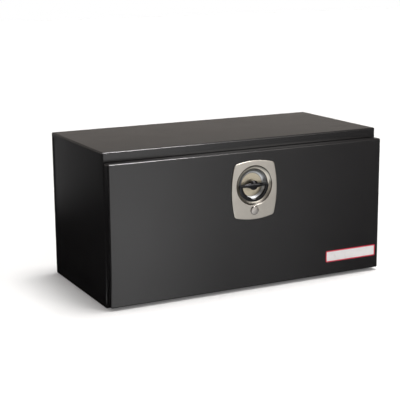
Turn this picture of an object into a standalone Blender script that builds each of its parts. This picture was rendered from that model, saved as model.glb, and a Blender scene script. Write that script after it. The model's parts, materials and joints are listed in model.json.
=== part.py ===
"""Underbody truck tool box: folded sheet-steel body, drop-down door, ring latch and slotted stays.

Metres, +X to the right along the front, +Y to the back, +Z up.
The origin is the middle of the body's underside.
"""
import math

import bmesh
import bpy
from mathutils import Matrix, Vector

# Body
BODY_WIDTH = 0.9176
BODY_DEPTH = 0.4215
BODY_HEIGHT = 0.4525
SHEET = 0.0016
BEND = 0.004
FIT_GAP = 0.0003
CUT_OVERRUN = 0.005
LAP = 0.012
HEADER_DROP = 0.045
SILL_RISE = 0.050
JAMB_WIDTH = 0.035
FLANGE_ROUND = 3

# Door
DOOR_GAP = 0.009
DOOR_DEPTH = 0.0265
DOOR_BEND = 0.0045
DOOR_SIDE_REVEAL = 0.0021
DOOR_FOOT = 0.009
DOOR_TOP_REVEAL = 0.0288
LINER_FLANGE = 0.012

# Stiffening channels
ROOF_CHANNEL_WIDTH = 0.050
ROOF_CHANNEL_DEPTH = 0.018
ROOF_CHANNEL_SIDE_INSET = 0.1788
ROOF_CHANNEL_END_GAP = 0.020
DOOR_CHANNEL_WIDTH = 0.040
DOOR_CHANNEL_SIDE_INSET = 0.2167
DOOR_CHANNEL_END_GAP = 0.020

# Drain plugs
DRAIN_SIDE_INSET = 0.0788
DRAIN_INSET = 0.060
DRAIN_RADIUS = 0.006
DRAIN_HEAD_RADIUS = 0.010
DRAIN_HEAD = 0.003

# Weatherstrip round the opening
SEAL_WIDTH = 0.010
SEAL_INSET = 0.003
SEAL_EDGE = 0.003

# Hinge along the sill
HINGE_HEIGHT = 0.012
KNUCKLE_RADIUS = 0.004
HINGE_PIN_RADIUS = 0.00175
HINGE_PIN_PLAY = 0.00015
HINGE_LEAF = 0.0015
HINGE_LEAF_REACH = 0.022
HINGE_END_GAP = 0.0088
HINGE_KNUCKLES = 15
KNUCKLE_GAP = 0.0005
RIVET_RADIUS = 0.0024
RIVET_HEAD_RADIUS = 0.0045
RIVET_HEAD = 0.0012
RIVET_PLAY = 0.0002

# Slotted stays between the door and the end panels
STAY_REACH = 0.2008
STAY_PIVOT_BEHIND = 0.018
STAY_SPREAD = math.radians(40)
STAY_TRAVEL = math.radians(90)
STAY_WIDTH = 0.022
STAY_THICKNESS = 0.003
STAY_JAMB_GAP = 0.012
STAY_SLOT_PLAY = 0.0003
STAY_PIN_RADIUS = 0.004
STAY_POST_RADIUS = 0.008
STAY_POST_FOOT_RADIUS = 0.020
STAY_POST_FOOT = 0.003
STAY_HEAD_RADIUS = 0.008
STAY_HEAD = 0.002
STAY_SIDE_GAP = 0.0005
TAB_SHEET = 0.002
TAB_FOOT_WIDTH = 0.026
TAB_HEIGHT = 0.030

# Latch plate with its dish
LATCH_ACROSS = 0.0055
LATCH_BELOW_DOOR_TOP = 0.1037
LATCH_GASKET = 0.0008
PLATE_SHEET = 0.0015
PLATE_HALF_WIDTH = 0.0762
PLATE_ABOVE = 0.0754
PLATE_BELOW = 0.1023
PLATE_SIDE_BOW = 0.0090
PLATE_END_BOW = 0.0075
PLATE_CORNER = 0.010
DISH_RADIUS = 0.060
DISH_LEDGE_RADIUS = 0.0495
DISH_FLOOR_RADIUS = 0.035
DISH_LEDGE_DEPTH = 0.009
DISH_DEPTH = 0.020
DISH_SHEET = 0.0012
DISH_CUTOUT_RADIUS = 0.0605
STUD_RADIUS = 0.0025
STUD_LENGTH = 0.011
STUD_INSET = 0.011
NUT_RADIUS = 0.0045
NUT_HEIGHT = 0.004

# Handle: spindle, crossbar and folding ring
SPINDLE_RADIUS = 0.007
SPINDLE_PLAY = 0.0002
HUB_RADIUS = 0.0145
HUB_DEPTH = 0.0135
HUB_PROUD = 0.0002
CROSSBAR_RADIUS = 0.004
CROSSBAR_HALF = 0.0375
RING_AXIS_DEPTH = 0.0050
RING_RADIUS = 0.0440
RING_HALF_BAND = 0.0062
RING_HALF_THICK = 0.0036
RING_LUG_END = 0.0480
RING_PIN_RADIUS = 0.0018
RING_PIN_PLAY = 0.00015
RING_SIDE_GAP = 0.0005
FINGER_NOTCH_RADIUS = 0.0138
FINGER_NOTCH_BITE = 0.0058
BUSH_RADIUS = 0.0130
LOCK_DISC_RADIUS = 0.040
LOCK_DISC = 0.002
PAWL_OVERLAP = 0.0145
PAWL_WIDTH = 0.022
PAWL = 0.004
PAWL_NUT_RADIUS = 0.0085
PAWL_NUT = 0.006
STRIKER = 0.003
STRIKER_WIDTH = 0.120
STRIKER_HEIGHT = 0.024
PAWL_GAP = 0.0007

# Key lock under the dish
LOCK_BELOW = 0.075
LOCK_CASE_RADIUS = 0.0100
LOCK_BEZEL_RADIUS = 0.0135
LOCK_BEZEL = 0.0012
LOCK_PLUG_RADIUS = 0.0060
LOCK_PLUG_PLAY = 0.00015
LOCK_PLUG_RECESS = 0.0006
KEYWAY_WIDTH = 0.0016
KEYWAY_HEIGHT = 0.0060
KEYWAY_DEPTH = 0.012
LOCK_CAM_REACH = 0.040
LOCK_CAM_WIDTH = 0.014
LOCK_CAM_PLAY = 0.0005
COVER_RADIUS = 0.0125
COVER_RISE = 0.0032
COVER_RIM = 0.0010
COVER_PIVOT_UP = 0.0095
COVER_RIVET_RADIUS = 0.0012

# Plain badge plate, low on the right
BADGE_SIDE_INSET = 0.0132
BADGE_FOOT = 0.0408
BADGE_WIDTH = 0.183
BADGE_HEIGHT = 0.0355
BADGE_THICK = 0.0012
BADGE_CORNER = 0.004
BADGE_BORDER = 0.0028
BADGE_BORDER_RISE = 0.0005

# Facets of round pieces
NUT_SIDES = 6
SIDES_SMALL = 12
SIDES_ROUND = 20
SIDES_DISH = 48
ARC_STEPS = 4
SAME_WAY_SHARE = 0.9
SMOOTH_ANGLE = math.radians(40)

# Places that follow from the sizes above
HALF_WIDTH = BODY_WIDTH / 2
FRONT = -BODY_DEPTH / 2
BACK = BODY_DEPTH / 2
END_FACE = HALF_WIDTH - SHEET - FIT_GAP
OPENING_HALF = END_FACE - JAMB_WIDTH
OPENING_TOP = BODY_HEIGHT - HEADER_DROP
OPENING_BOTTOM = SILL_RISE
DOOR_HALF = HALF_WIDTH - DOOR_SIDE_REVEAL
DOOR_TOP = BODY_HEIGHT - DOOR_TOP_REVEAL
DOOR_BACK = FRONT - DOOR_GAP
DOOR_FACE = DOOR_BACK - DOOR_DEPTH
PLATE_FACE = DOOR_FACE - FIT_GAP - LATCH_GASKET - FIT_GAP - PLATE_SHEET
LINER_HALF = DOOR_HALF - SHEET - FIT_GAP
LINER_TOP = DOOR_TOP - SHEET - FIT_GAP
LINER_BOTTOM = DOOR_FOOT + SHEET + FIT_GAP
HINGE_LENGTH = BODY_WIDTH - 2 * HINGE_END_GAP
HINGE_Y = FRONT - DOOR_GAP / 2
STAY_PLANE = OPENING_HALF - STAY_JAMB_GAP
LATCH_UP = DOOR_TOP - LATCH_BELOW_DOOR_TOP
PAWL_REACH = OPENING_TOP - LATCH_UP + PAWL_OVERLAP
PAWL_FACE = FRONT + SHEET + FIT_GAP + STRIKER + PAWL_GAP
LOCK_UP = LATCH_UP - LOCK_BELOW
DISC_FACE = DOOR_BACK + 2 * FIT_GAP
BADGE_CENTRE_ACROSS = DOOR_HALF - BADGE_SIDE_INSET - BADGE_WIDTH / 2
BADGE_CENTRE_UP = DOOR_FOOT + BADGE_FOOT + BADGE_HEIGHT / 2

HINGE_AXIS = Vector((0, HINGE_Y, HINGE_HEIGHT))
LATCH_AXIS = Vector((LATCH_ACROSS, PLATE_FACE, LATCH_UP))
RING_AXIS = Vector((LATCH_ACROSS, PLATE_FACE + RING_AXIS_DEPTH, LATCH_UP))
LOCK_AXIS = Vector((LATCH_ACROSS, PLATE_FACE, LOCK_UP))
COVER_AXIS = Vector((LATCH_ACROSS, PLATE_FACE, LOCK_UP + COVER_PIVOT_UP))

STAY_START_ANGLE = math.asin(STAY_PIVOT_BEHIND / STAY_REACH)


def about_hinge(angle):
    """A point at the stays' reach from the hinge line, its angle counted from straight up."""
    return Vector((0, HINGE_Y + STAY_REACH * math.sin(angle), HINGE_HEIGHT + STAY_REACH * math.cos(angle)))


STAY_PIVOT = about_hinge(STAY_START_ANGLE)
STAY_GUIDE = about_hinge(STAY_START_ANGLE + STAY_SPREAD)
STAY_SHORT = 2 * STAY_REACH * math.sin(STAY_SPREAD / 2)
STAY_LONG = 2 * STAY_REACH * math.sin((STAY_SPREAD + STAY_TRAVEL) / 2)

# Materials: base colour, metallic, roughness
FINISHES = {
    "black_paint": ((0.030, 0.028, 0.030), 0.0, 0.35),
    "zinc": ((0.60, 0.60, 0.58), 1.0, 0.40),
    "stainless": ((0.62, 0.60, 0.56), 1.0, 0.30),
    "chrome": ((0.80, 0.80, 0.80), 1.0, 0.08),
    "rubber": ((0.02, 0.02, 0.02), 0.0, 0.75),
    "brass": ((0.70, 0.55, 0.28), 1.0, 0.35),
    "badge_red": ((0.75, 0.06, 0.08), 0.0, 0.40),
    "badge_white": ((0.85, 0.84, 0.84), 0.0, 0.40),
}


def clear_scene():
    for obj in list(bpy.data.objects):
        bpy.data.objects.remove(obj, do_unlink=True)


def make_collection(name):
    collection = bpy.data.collections.new(name)
    bpy.context.scene.collection.children.link(collection)
    return collection


def make_material(node, finish):
    colour, metallic, roughness = FINISHES[finish]
    material = bpy.data.materials.new(node + "_" + finish)
    material.use_nodes = True
    shader = material.node_tree.nodes["Principled BSDF"]
    shader.inputs["Base Color"].default_value = (*colour, 1)
    shader.inputs["Metallic"].default_value = metallic
    shader.inputs["Roughness"].default_value = roughness
    return material


clear_scene()
PARTS = make_collection("underbody_truck_tool_box")
CUTTERS = make_collection("cutters")


def make_empty(name, location, parent=None):
    """The carrier of one moving body, on its joint's axis."""
    empty = bpy.data.objects.new(name, None)
    PARTS.objects.link(empty)
    empty.location = location - (parent.matrix_world.translation if parent else Vector())
    empty.parent = parent
    bpy.context.view_layer.update()
    return empty


DOOR = make_empty("door_axis", HINGE_AXIS)
HANDLE = make_empty("handle_axis", LATCH_AXIS, DOOR)
RING = make_empty("ring_axis", RING_AXIS, HANDLE)
LOCK = make_empty("lock_axis", LOCK_AXIS, DOOR)
COVER = make_empty("cover_axis", COVER_AXIS, DOOR)
STAYS = {
    -1: make_empty("left_stay_axis", STAY_PIVOT + Vector((-STAY_PLANE, 0, 0)), DOOR),
    1: make_empty("right_stay_axis", STAY_PIVOT + Vector((STAY_PLANE, 0, 0)), DOOR),
}


def add_object(name, mesh, matrix=None):
    obj = bpy.data.objects.new(name, mesh)
    PARTS.objects.link(obj)
    obj.matrix_world = matrix or Matrix.Identity(4)
    return obj


def from_bmesh(name, bm, matrix=None):
    mesh = bpy.data.meshes.new(name)
    bm.to_mesh(mesh)
    bm.free()
    return add_object(name, mesh, matrix)


def add_box(bm, low, high):
    low = Vector(low)
    high = Vector(high)
    size = high - low
    matrix = Matrix.Translation((low + high) / 2) @ Matrix.Diagonal((*size, 1))
    return bmesh.ops.create_cube(bm, size=1, matrix=matrix)


def box(name, low, high):
    bm = bmesh.new()
    add_box(bm, low, high)
    return from_bmesh(name, bm)


def add_rod(bm, start, end, radius, sides=SIDES_ROUND):
    start = Vector(start)
    along = Vector(end) - start
    turn = along.to_track_quat("Z", "Y").to_matrix().to_4x4()
    matrix = Matrix.Translation(start + along / 2) @ turn
    bmesh.ops.create_cone(bm, cap_ends=True, segments=sides, radius1=radius, radius2=radius,
                          depth=along.length, matrix=matrix)


def rod(name, start, end, radius, sides=SIDES_ROUND):
    bm = bmesh.new()
    add_rod(bm, start, end, radius, sides)
    return from_bmesh(name, bm)


def rods(name, places, half, radius, sides=SIDES_SMALL):
    """Equal rods at several places, each reaching half to both sides."""
    bm = bmesh.new()
    for place in places:
        add_rod(bm, place - half, place + half, radius, sides)
    return from_bmesh(name, bm)


def as_guide(obj):
    """Keep a cutter or a joined shape out of the part."""
    PARTS.objects.unlink(obj)
    CUTTERS.objects.link(obj)
    obj.hide_render = True
    obj.display_type = "WIRE"


def combine(obj, other, operation):
    as_guide(other)
    change = obj.modifiers.new(other.name, "BOOLEAN")
    change.operation = operation
    change.solver = "EXACT"
    change.object = other


def cut(obj, cutter):
    combine(obj, cutter, "DIFFERENCE")


def join(obj, other):
    combine(obj, other, "UNION")


def round_edges(obj, width, segments=2, angle=math.radians(30)):
    bevel = obj.modifiers.new("rounded", "BEVEL")
    bevel.width = width
    bevel.segments = segments
    bevel.limit_method = "ANGLE"
    bevel.angle_limit = angle
    return bevel


def folded(name, low, high, open_sides, bend, sheet=SHEET):
    """A sheet folded over the faces of a box, without the sides that are open."""
    bm = bmesh.new()
    add_box(bm, low, high)
    bm.normal_update()
    gone = [face for face in bm.faces for side in open_sides
            if face.normal.dot(Vector(side)) > SAME_WAY_SHARE]
    bmesh.ops.delete(bm, geom=gone, context="FACES")
    obj = from_bmesh(name, bm)
    round_edges(obj, bend, FLANGE_ROUND)
    solidify = obj.modifiers.new("sheet", "SOLIDIFY")
    solidify.thickness = sheet
    solidify.offset = -1
    solidify.use_even_offset = True
    return obj


def turned(name, profile, origin, direction, sides=SIDES_ROUND):
    """Revolve (radius, distance) points round a line; closed when it has a bore."""
    bm = bmesh.new()
    verts = [bm.verts.new((radius, 0, -distance)) for radius, distance in profile]
    for first, second in zip(verts, verts[1:]):
        bm.edges.new((first, second))
    if profile[0][0] > 0:
        bm.edges.new((verts[-1], verts[0]))
    turn = (-Vector(direction)).to_track_quat("Z", "Y").to_matrix().to_4x4()
    obj = from_bmesh(name, bm, Matrix.Translation(origin) @ turn)
    screw = obj.modifiers.new("turned", "SCREW")
    screw.axis = "Z"
    screw.steps = sides
    screw.render_steps = sides
    screw.use_merge_vertices = True
    screw.merge_threshold = FIT_GAP / 10
    return obj


def arc(centre, radius, start, end, steps=ARC_STEPS):
    """Points along an arc, in the plane of an outline."""
    span = end - start
    angles = [start + span * step / steps for step in range(steps + 1)]
    return [(centre[0] + radius * math.cos(a), centre[1] + radius * math.sin(a)) for a in angles]


def stadium(start, end, radius):
    """A slot or bar with round ends along the first coordinate."""
    right = arc((end, 0), radius, -math.pi / 2, math.pi / 2)
    left = arc((start, 0), radius, math.pi / 2, 3 * math.pi / 2)
    return right + left


def circle(centre, radius, sides=SIDES_ROUND):
    return arc(centre, radius, 0, 2 * math.pi * (sides - 1) / sides, sides - 1)


def flat_plate(name, loops, thickness, matrix):
    """An outline with its holes, as thick as the plate and centred on its plane."""
    curve = bpy.data.curves.new(name, "CURVE")
    curve.dimensions = "2D"
    curve.fill_mode = "BOTH"
    curve.extrude = thickness / 2
    for loop in loops:
        spline = curve.splines.new("POLY")
        spline.points.add(len(loop) - 1)
        for point, (u, v) in zip(spline.points, loop):
            point.co = (u, v, 0, 1)
        spline.use_cyclic_u = True
    return curve_to_mesh(name, curve, matrix)


def curve_to_mesh(name, curve, matrix):
    """Make a closed mesh of a curve: its caps are welded to its sides."""
    guide = bpy.data.objects.new(name + "_curve", curve)
    CUTTERS.objects.link(guide)
    bpy.context.view_layer.update()
    seen = guide.evaluated_get(bpy.context.evaluated_depsgraph_get())
    mesh = bpy.data.meshes.new_from_object(seen)
    bpy.data.objects.remove(guide, do_unlink=True)
    bm = bmesh.new()
    bm.from_mesh(mesh)
    bmesh.ops.remove_doubles(bm, verts=bm.verts, dist=FIT_GAP / 10)
    bmesh.ops.recalc_face_normals(bm, faces=bm.faces)
    bm.to_mesh(mesh)
    bm.free()
    return add_object(name, mesh, matrix)


def plane_matrix(origin, across, up):
    """Place an outline: its first coordinate runs across and its second up."""
    across = Vector(across).normalized()
    up = Vector(up).normalized()
    matrix = Matrix((across, up, across.cross(up))).transposed().to_4x4()
    matrix.translation = origin
    return matrix


def finish(obj, look, carrier=None):
    """Give a piece its material and hang it on the body that carries it."""
    obj.data.materials.append(make_material(obj.name, look))
    if carrier:
        obj.location = obj.location - carrier.matrix_world.translation
        obj.parent = carrier
    return obj


def finish_round(obj, look, carrier=None):
    """Finish a piece that has round faces, and shade them smooth."""
    obj.data.shade_smooth()
    obj.data.set_sharp_from_angle(angle=SMOOTH_ANGLE)
    return finish(obj, look, carrier)


def side_name(side):
    return "left" if side < 0 else "right"


def side_box(side, inner, outer, low, high):
    """Corners of a box on one side: inner and outer are its distances from the middle."""
    ends = sorted((side * inner, side * outer))
    return (ends[0], *low), (ends[1], *high)


def make_top_panel():
    low = Vector((-HALF_WIDTH, FRONT, OPENING_TOP))
    high = Vector((HALF_WIDTH, BACK, BODY_HEIGHT))
    panel = folded("top_panel", low, high, [(0, 0, -1)], BEND)
    over = Vector((CUT_OVERRUN, CUT_OVERRUN, CUT_OVERRUN))
    spare = box("top_lap_cutter", (low.x - over.x, FRONT + BEND, low.z - over.z),
                (high.x + over.x, BACK + over.y, BODY_HEIGHT - LAP))
    cut(panel, spare)
    finish(panel, "black_paint")


def drain_places(height):
    return [Vector((side * (HALF_WIDTH - DRAIN_SIDE_INSET), BACK - DRAIN_INSET, height)) for side in (-1, 1)]


def make_floor_panel():
    low = Vector((-HALF_WIDTH, FRONT, 0))
    high = Vector((HALF_WIDTH, BACK, OPENING_BOTTOM))
    panel = folded("floor_panel", low, high, [(0, 0, 1)], BEND)
    spare = box("floor_lap_cutter", (low.x - CUT_OVERRUN, FRONT + BEND, LAP),
                (high.x + CUT_OVERRUN, BACK + CUT_OVERRUN, high.z + CUT_OVERRUN))
    cut(panel, spare)
    through = Vector((0, 0, SHEET + CUT_OVERRUN))
    cut(panel, rods("drain_cutter", drain_places(0), through, DRAIN_RADIUS + FIT_GAP))
    finish(panel, "black_paint")


def make_drain_plugs():
    profile = [(0, 0), (DRAIN_HEAD_RADIUS, 0), (DRAIN_HEAD_RADIUS, DRAIN_HEAD),
               (DRAIN_RADIUS, DRAIN_HEAD), (DRAIN_RADIUS, DRAIN_HEAD + FIT_GAP + SHEET),
               (0, DRAIN_HEAD + FIT_GAP + SHEET)]
    top = SHEET + FIT_GAP + DRAIN_HEAD
    for side, place in zip((-1, 1), drain_places(top)):
        plug = turned(side_name(side) + "_drain_plug", profile, place, (0, 0, -1))
        finish_round(plug, "rubber")


def make_back_panel():
    low = (-HALF_WIDTH, BACK - LAP, LAP + FIT_GAP)
    high = (HALF_WIDTH, BACK, BODY_HEIGHT - LAP - FIT_GAP)
    panel = folded("back_panel", low, high, [(0, -1, 0), (0, 0, 1), (0, 0, -1)], BEND)
    finish(panel, "black_paint")


def make_end_panel(side):
    """The end wall with its front edge folded in as the jamb, notched behind header and sill."""
    low, high = side_box(side, OPENING_HALF, END_FACE, (FRONT, BEND), (BACK - BEND, BODY_HEIGHT - BEND))
    panel = folded(side_name(side) + "_end_panel", low, high,
                   [(-side, 0, 0), (0, 1, 0), (0, 0, 1), (0, 0, -1)], BEND)
    notches = [(OPENING_TOP - FIT_GAP, BODY_HEIGHT), (0, OPENING_BOTTOM + FIT_GAP)]
    for bottom, top in notches:
        low, high = side_box(side, OPENING_HALF - CUT_OVERRUN, HALF_WIDTH + CUT_OVERRUN,
                             (FRONT - CUT_OVERRUN, bottom), (FRONT + BEND, top))
        cut(panel, box("corner_notch_cutter", low, high))
    finish(panel, "black_paint")


def make_roof_channel(side):
    middle = side * (HALF_WIDTH - ROOF_CHANNEL_SIDE_INSET)
    top = BODY_HEIGHT - SHEET - FIT_GAP
    low = (middle - ROOF_CHANNEL_WIDTH / 2, FRONT + ROOF_CHANNEL_END_GAP, top - ROOF_CHANNEL_DEPTH)
    high = (middle + ROOF_CHANNEL_WIDTH / 2, BACK - ROOF_CHANNEL_END_GAP, top)
    channel = folded(side_name(side) + "_roof_channel", low, high, [(0, 0, 1), (0, 1, 0), (0, -1, 0)], BEND)
    finish(channel, "black_paint")


def make_door_seal():
    inner = SEAL_INSET
    outer = SEAL_INSET + SEAL_WIDTH
    depth = (DOOR_BACK + FIT_GAP, FRONT - FIT_GAP)
    seal = box("door_seal", (-OPENING_HALF - outer, depth[0], OPENING_BOTTOM - outer),
               (OPENING_HALF + outer, depth[1], OPENING_TOP + outer))
    cut(seal, box("seal_cutter", (-OPENING_HALF - inner, depth[0] - CUT_OVERRUN, OPENING_BOTTOM - inner),
                  (OPENING_HALF + inner, depth[1] + CUT_OVERRUN, OPENING_TOP + inner)))
    round_edges(seal, SEAL_EDGE)
    finish(seal, "rubber")


def make_striker():
    low = (LATCH_ACROSS - STRIKER_WIDTH / 2, FRONT + SHEET + FIT_GAP, OPENING_TOP + SEAL_INSET)
    high = (LATCH_ACROSS + STRIKER_WIDTH / 2, low[1] + STRIKER, low[2] + STRIKER_HEIGHT)
    finish(box("striker_plate", low, high), "zinc")


def knuckle_spans(first):
    """Where every second knuckle lies along the hinge, counted from the first or second."""
    pitch = HINGE_LENGTH / HINGE_KNUCKLES
    starts = [-HINGE_LENGTH / 2 + pitch * number for number in range(first, HINGE_KNUCKLES, 2)]
    return [(start + KNUCKLE_GAP / 2, start + pitch - KNUCKLE_GAP / 2) for start in starts]


def make_hinge_leaf(name, first, near, far, carrier):
    """A leaf between the planes near and far, with every second knuckle on it."""
    depth = sorted((near, far))
    foot = HINGE_HEIGHT + KNUCKLE_RADIUS + FIT_GAP
    leaf = box(name, (-HINGE_LENGTH / 2, depth[0], foot),
               (HINGE_LENGTH / 2, depth[1], HINGE_HEIGHT + HINGE_LEAF_REACH))
    tongues = bmesh.new()
    knuckles = bmesh.new()
    for start, end in knuckle_spans(first):
        add_box(tongues, (start, depth[0], HINGE_HEIGHT), (end, depth[1], foot + HINGE_LEAF))
        add_rod(knuckles, (start, HINGE_Y, HINGE_HEIGHT), (end, HINGE_Y, HINGE_HEIGHT),
                KNUCKLE_RADIUS, SIDES_SMALL)
    join(leaf, from_bmesh(name + "_tongues", tongues))
    join(leaf, from_bmesh(name + "_knuckles", knuckles))
    reach = HINGE_LENGTH / 2 + CUT_OVERRUN
    bore = HINGE_PIN_RADIUS + HINGE_PIN_PLAY
    cut(leaf, rod(name + "_bore", (-reach, HINGE_Y, HINGE_HEIGHT), (reach, HINGE_Y, HINGE_HEIGHT),
                  bore, SIDES_SMALL))
    finish(leaf, "stainless", carrier)


def make_hinge():
    body_near = FRONT - FIT_GAP - HINGE_LEAF
    door_near = DOOR_BACK + FIT_GAP + HINGE_LEAF
    make_hinge_leaf("hinge_leaf_body", 0, body_near, FRONT - FIT_GAP, None)
    make_hinge_leaf("hinge_leaf_door", 1, door_near, DOOR_BACK + FIT_GAP, DOOR)
    end = HINGE_LENGTH / 2 - KNUCKLE_GAP / 2
    pin = rod("hinge_pin", (-end, HINGE_Y, HINGE_HEIGHT), (end, HINGE_Y, HINGE_HEIGHT),
              HINGE_PIN_RADIUS, SIDES_SMALL)
    finish_round(pin, "stainless")


def make_stay_post(side):
    """A post from the end wall to the stay, turned down to the pin that runs in its slot."""
    wall = END_FACE - SHEET - FIT_GAP
    shoulder = wall - (STAY_PLANE + STAY_THICKNESS / 2 + STAY_SIDE_GAP)
    tip = wall - (STAY_PLANE - STAY_THICKNESS / 2 - 2 * STAY_SIDE_GAP - STAY_HEAD)
    profile = [(0, 0), (STAY_POST_FOOT_RADIUS, 0), (STAY_POST_FOOT_RADIUS, STAY_POST_FOOT),
               (STAY_POST_RADIUS, STAY_POST_FOOT), (STAY_POST_RADIUS, shoulder), (STAY_PIN_RADIUS, shoulder),
               (STAY_PIN_RADIUS, tip), (0, tip)]
    origin = STAY_GUIDE + Vector((side * wall, 0, 0))
    post = turned(side_name(side) + "_stay_post", profile, origin, (-side, 0, 0))
    finish_round(post, "zinc")


def make_stay_retainer(side):
    bore = STAY_PIN_RADIUS + FIT_GAP
    profile = [(bore, 0), (STAY_HEAD_RADIUS, 0), (STAY_HEAD_RADIUS, STAY_HEAD), (bore, STAY_HEAD)]
    start = STAY_PLANE - STAY_THICKNESS / 2 - STAY_SIDE_GAP
    origin = STAY_GUIDE + Vector((side * start, 0, 0))
    retainer = turned(side_name(side) + "_stay_retainer", profile, origin, (-side, 0, 0))
    finish_round(retainer, "zinc")


def make_stay(side):
    """A flat arm on the door with a long slot that slides along the post's pin."""
    along = STAY_GUIDE - STAY_PIVOT
    up = Vector((1, 0, 0)).cross(along)
    outline = stadium(0, STAY_LONG + STAY_SLOT_PLAY, STAY_WIDTH / 2)
    slot = stadium(STAY_SHORT - STAY_SLOT_PLAY, STAY_LONG + STAY_SLOT_PLAY, STAY_PIN_RADIUS + STAY_SLOT_PLAY)
    hole = circle((0, 0), STAY_PIN_RADIUS + STAY_SLOT_PLAY)
    origin = STAY_PIVOT + Vector((side * STAY_PLANE, 0, 0))
    arm = flat_plate(side_name(side) + "_stay", [outline, slot, hole], STAY_THICKNESS,
                     plane_matrix(origin, along, up))
    finish(arm, "zinc", STAYS[side])


def tab_rivet_places(side, y):
    outer = STAY_PLANE - STAY_THICKNESS / 2 - STAY_SIDE_GAP - TAB_SHEET
    across = side * (outer - TAB_FOOT_WIDTH / 2)
    return [Vector((across, y, STAY_PIVOT.z + end * TAB_HEIGHT / 4)) for end in (-1, 1)]


def make_stay_tab(side):
    """An angle on the door's liner that carries the stay's pivot."""
    outer = STAY_PLANE - STAY_THICKNESS / 2 - STAY_SIDE_GAP
    low, high = side_box(side, outer - TAB_FOOT_WIDTH, outer,
                         (DOOR_BACK + FIT_GAP, STAY_PIVOT.z - TAB_HEIGHT / 2),
                         (STAY_PIVOT.y + STAY_WIDTH / 2, STAY_PIVOT.z + TAB_HEIGHT / 2))
    tab = folded(side_name(side) + "_stay_tab", low, high,
                 [(-side, 0, 0), (0, 1, 0), (0, 0, 1), (0, 0, -1)], TAB_SHEET, TAB_SHEET)
    pivot = STAY_PIVOT + Vector((side * outer, 0, 0))
    cut(tab, rods("tab_pivot_cutter", [pivot], Vector((CUT_OVERRUN, 0, 0)), STAY_PIN_RADIUS + FIT_GAP))
    cut(tab, rods("tab_rivet_cutter", tab_rivet_places(side, DOOR_BACK), Vector((0, CUT_OVERRUN, 0)),
                  RIVET_RADIUS + RIVET_PLAY))
    finish(tab, "zinc", DOOR)


def make_stay_pivot(side):
    """A shouldered rivet that holds the stay against its tab."""
    grip = TAB_SHEET + STAY_THICKNESS + 3 * STAY_SIDE_GAP
    end = grip + 2 * STAY_HEAD
    profile = [(0, 0), (STAY_HEAD_RADIUS, 0), (STAY_HEAD_RADIUS, STAY_HEAD), (STAY_PIN_RADIUS, STAY_HEAD),
               (STAY_PIN_RADIUS, end - STAY_HEAD), (STAY_HEAD_RADIUS, end - STAY_HEAD),
               (STAY_HEAD_RADIUS, end), (0, end)]
    outer = STAY_PLANE + STAY_THICKNESS / 2 + STAY_SIDE_GAP + STAY_HEAD
    origin = STAY_PIVOT + Vector((side * outer, 0, 0))
    pivot = turned(side_name(side) + "_stay_pivot", profile, origin, (-side, 0, 0))
    finish_round(pivot, "zinc", DOOR)


def make_tab_rivets(side):
    grip = TAB_SHEET + SHEET + 3 * FIT_GAP
    end = grip + 2 * RIVET_HEAD
    profile = [(0, 0), (RIVET_HEAD_RADIUS, 0), (RIVET_HEAD_RADIUS, RIVET_HEAD), (RIVET_RADIUS, RIVET_HEAD),
               (RIVET_RADIUS, end - RIVET_HEAD), (RIVET_HEAD_RADIUS, end - RIVET_HEAD),
               (RIVET_HEAD_RADIUS, end), (0, end)]
    head = DOOR_BACK + FIT_GAP + TAB_SHEET + FIT_GAP + RIVET_HEAD
    for level, place in zip(("lower", "upper"), tab_rivet_places(side, head)):
        name = "_".join((side_name(side), level, "tab_rivet"))
        rivet = turned(name, profile, place, (0, -1, 0), SIDES_SMALL)
        finish_round(rivet, "zinc", DOOR)


def latch_point(across, depth, up):
    """A place on the latch: depth is counted back from the plate's face."""
    return Vector((LATCH_ACROSS + across, PLATE_FACE + depth, LATCH_UP + up))


def stud_places(depth):
    half = PLATE_HALF_WIDTH - PLATE_SIDE_BOW - STUD_INSET
    above = PLATE_ABOVE - PLATE_END_BOW - STUD_INSET
    below = PLATE_BELOW - PLATE_END_BOW - STUD_INSET
    return [latch_point(side * half, depth, up) for side in (-1, 1) for up in (above, -below)]


def make_door_skin():
    skin = folded("door_skin", (-DOOR_HALF, DOOR_FACE, DOOR_FOOT), (DOOR_HALF, DOOR_BACK, DOOR_TOP),
                  [(0, 1, 0)], DOOR_BEND)
    through = Vector((0, DOOR_DEPTH / 2, 0))
    face = DOOR_FACE - PLATE_FACE
    cut(skin, rods("dish_hole_cutter", [latch_point(0, face, 0)], through, DISH_CUTOUT_RADIUS, SIDES_DISH))
    cut(skin, rods("skin_lock_cutter", [latch_point(0, face, -LOCK_BELOW)], through,
                   LOCK_CASE_RADIUS + FIT_GAP, SIDES_ROUND))
    cut(skin, rods("skin_stud_cutter", stud_places(face), through, STUD_RADIUS + FIT_GAP))
    finish(skin, "black_paint", DOOR)


def make_door_liner():
    liner = folded("door_liner", (-LINER_HALF, DOOR_BACK - LINER_FLANGE, LINER_BOTTOM),
                   (LINER_HALF, DOOR_BACK, LINER_TOP), [(0, -1, 0)], DOOR_BEND - SHEET - FIT_GAP)
    through = Vector((0, CUT_OVERRUN, 0))
    back = DOOR_BACK - PLATE_FACE
    cut(liner, rods("bush_hole_cutter", [latch_point(0, back, 0)], through,
                    BUSH_RADIUS + FIT_GAP, SIDES_ROUND))
    cut(liner, rods("liner_lock_cutter", [latch_point(0, back, -LOCK_BELOW)], through,
                    LOCK_CASE_RADIUS + FIT_GAP, SIDES_ROUND))
    tabs = [place for side in (-1, 1) for place in tab_rivet_places(side, DOOR_BACK)]
    cut(liner, rods("liner_tab_cutter", tabs, through, RIVET_RADIUS + RIVET_PLAY))
    finish(liner, "black_paint", DOOR)


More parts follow.
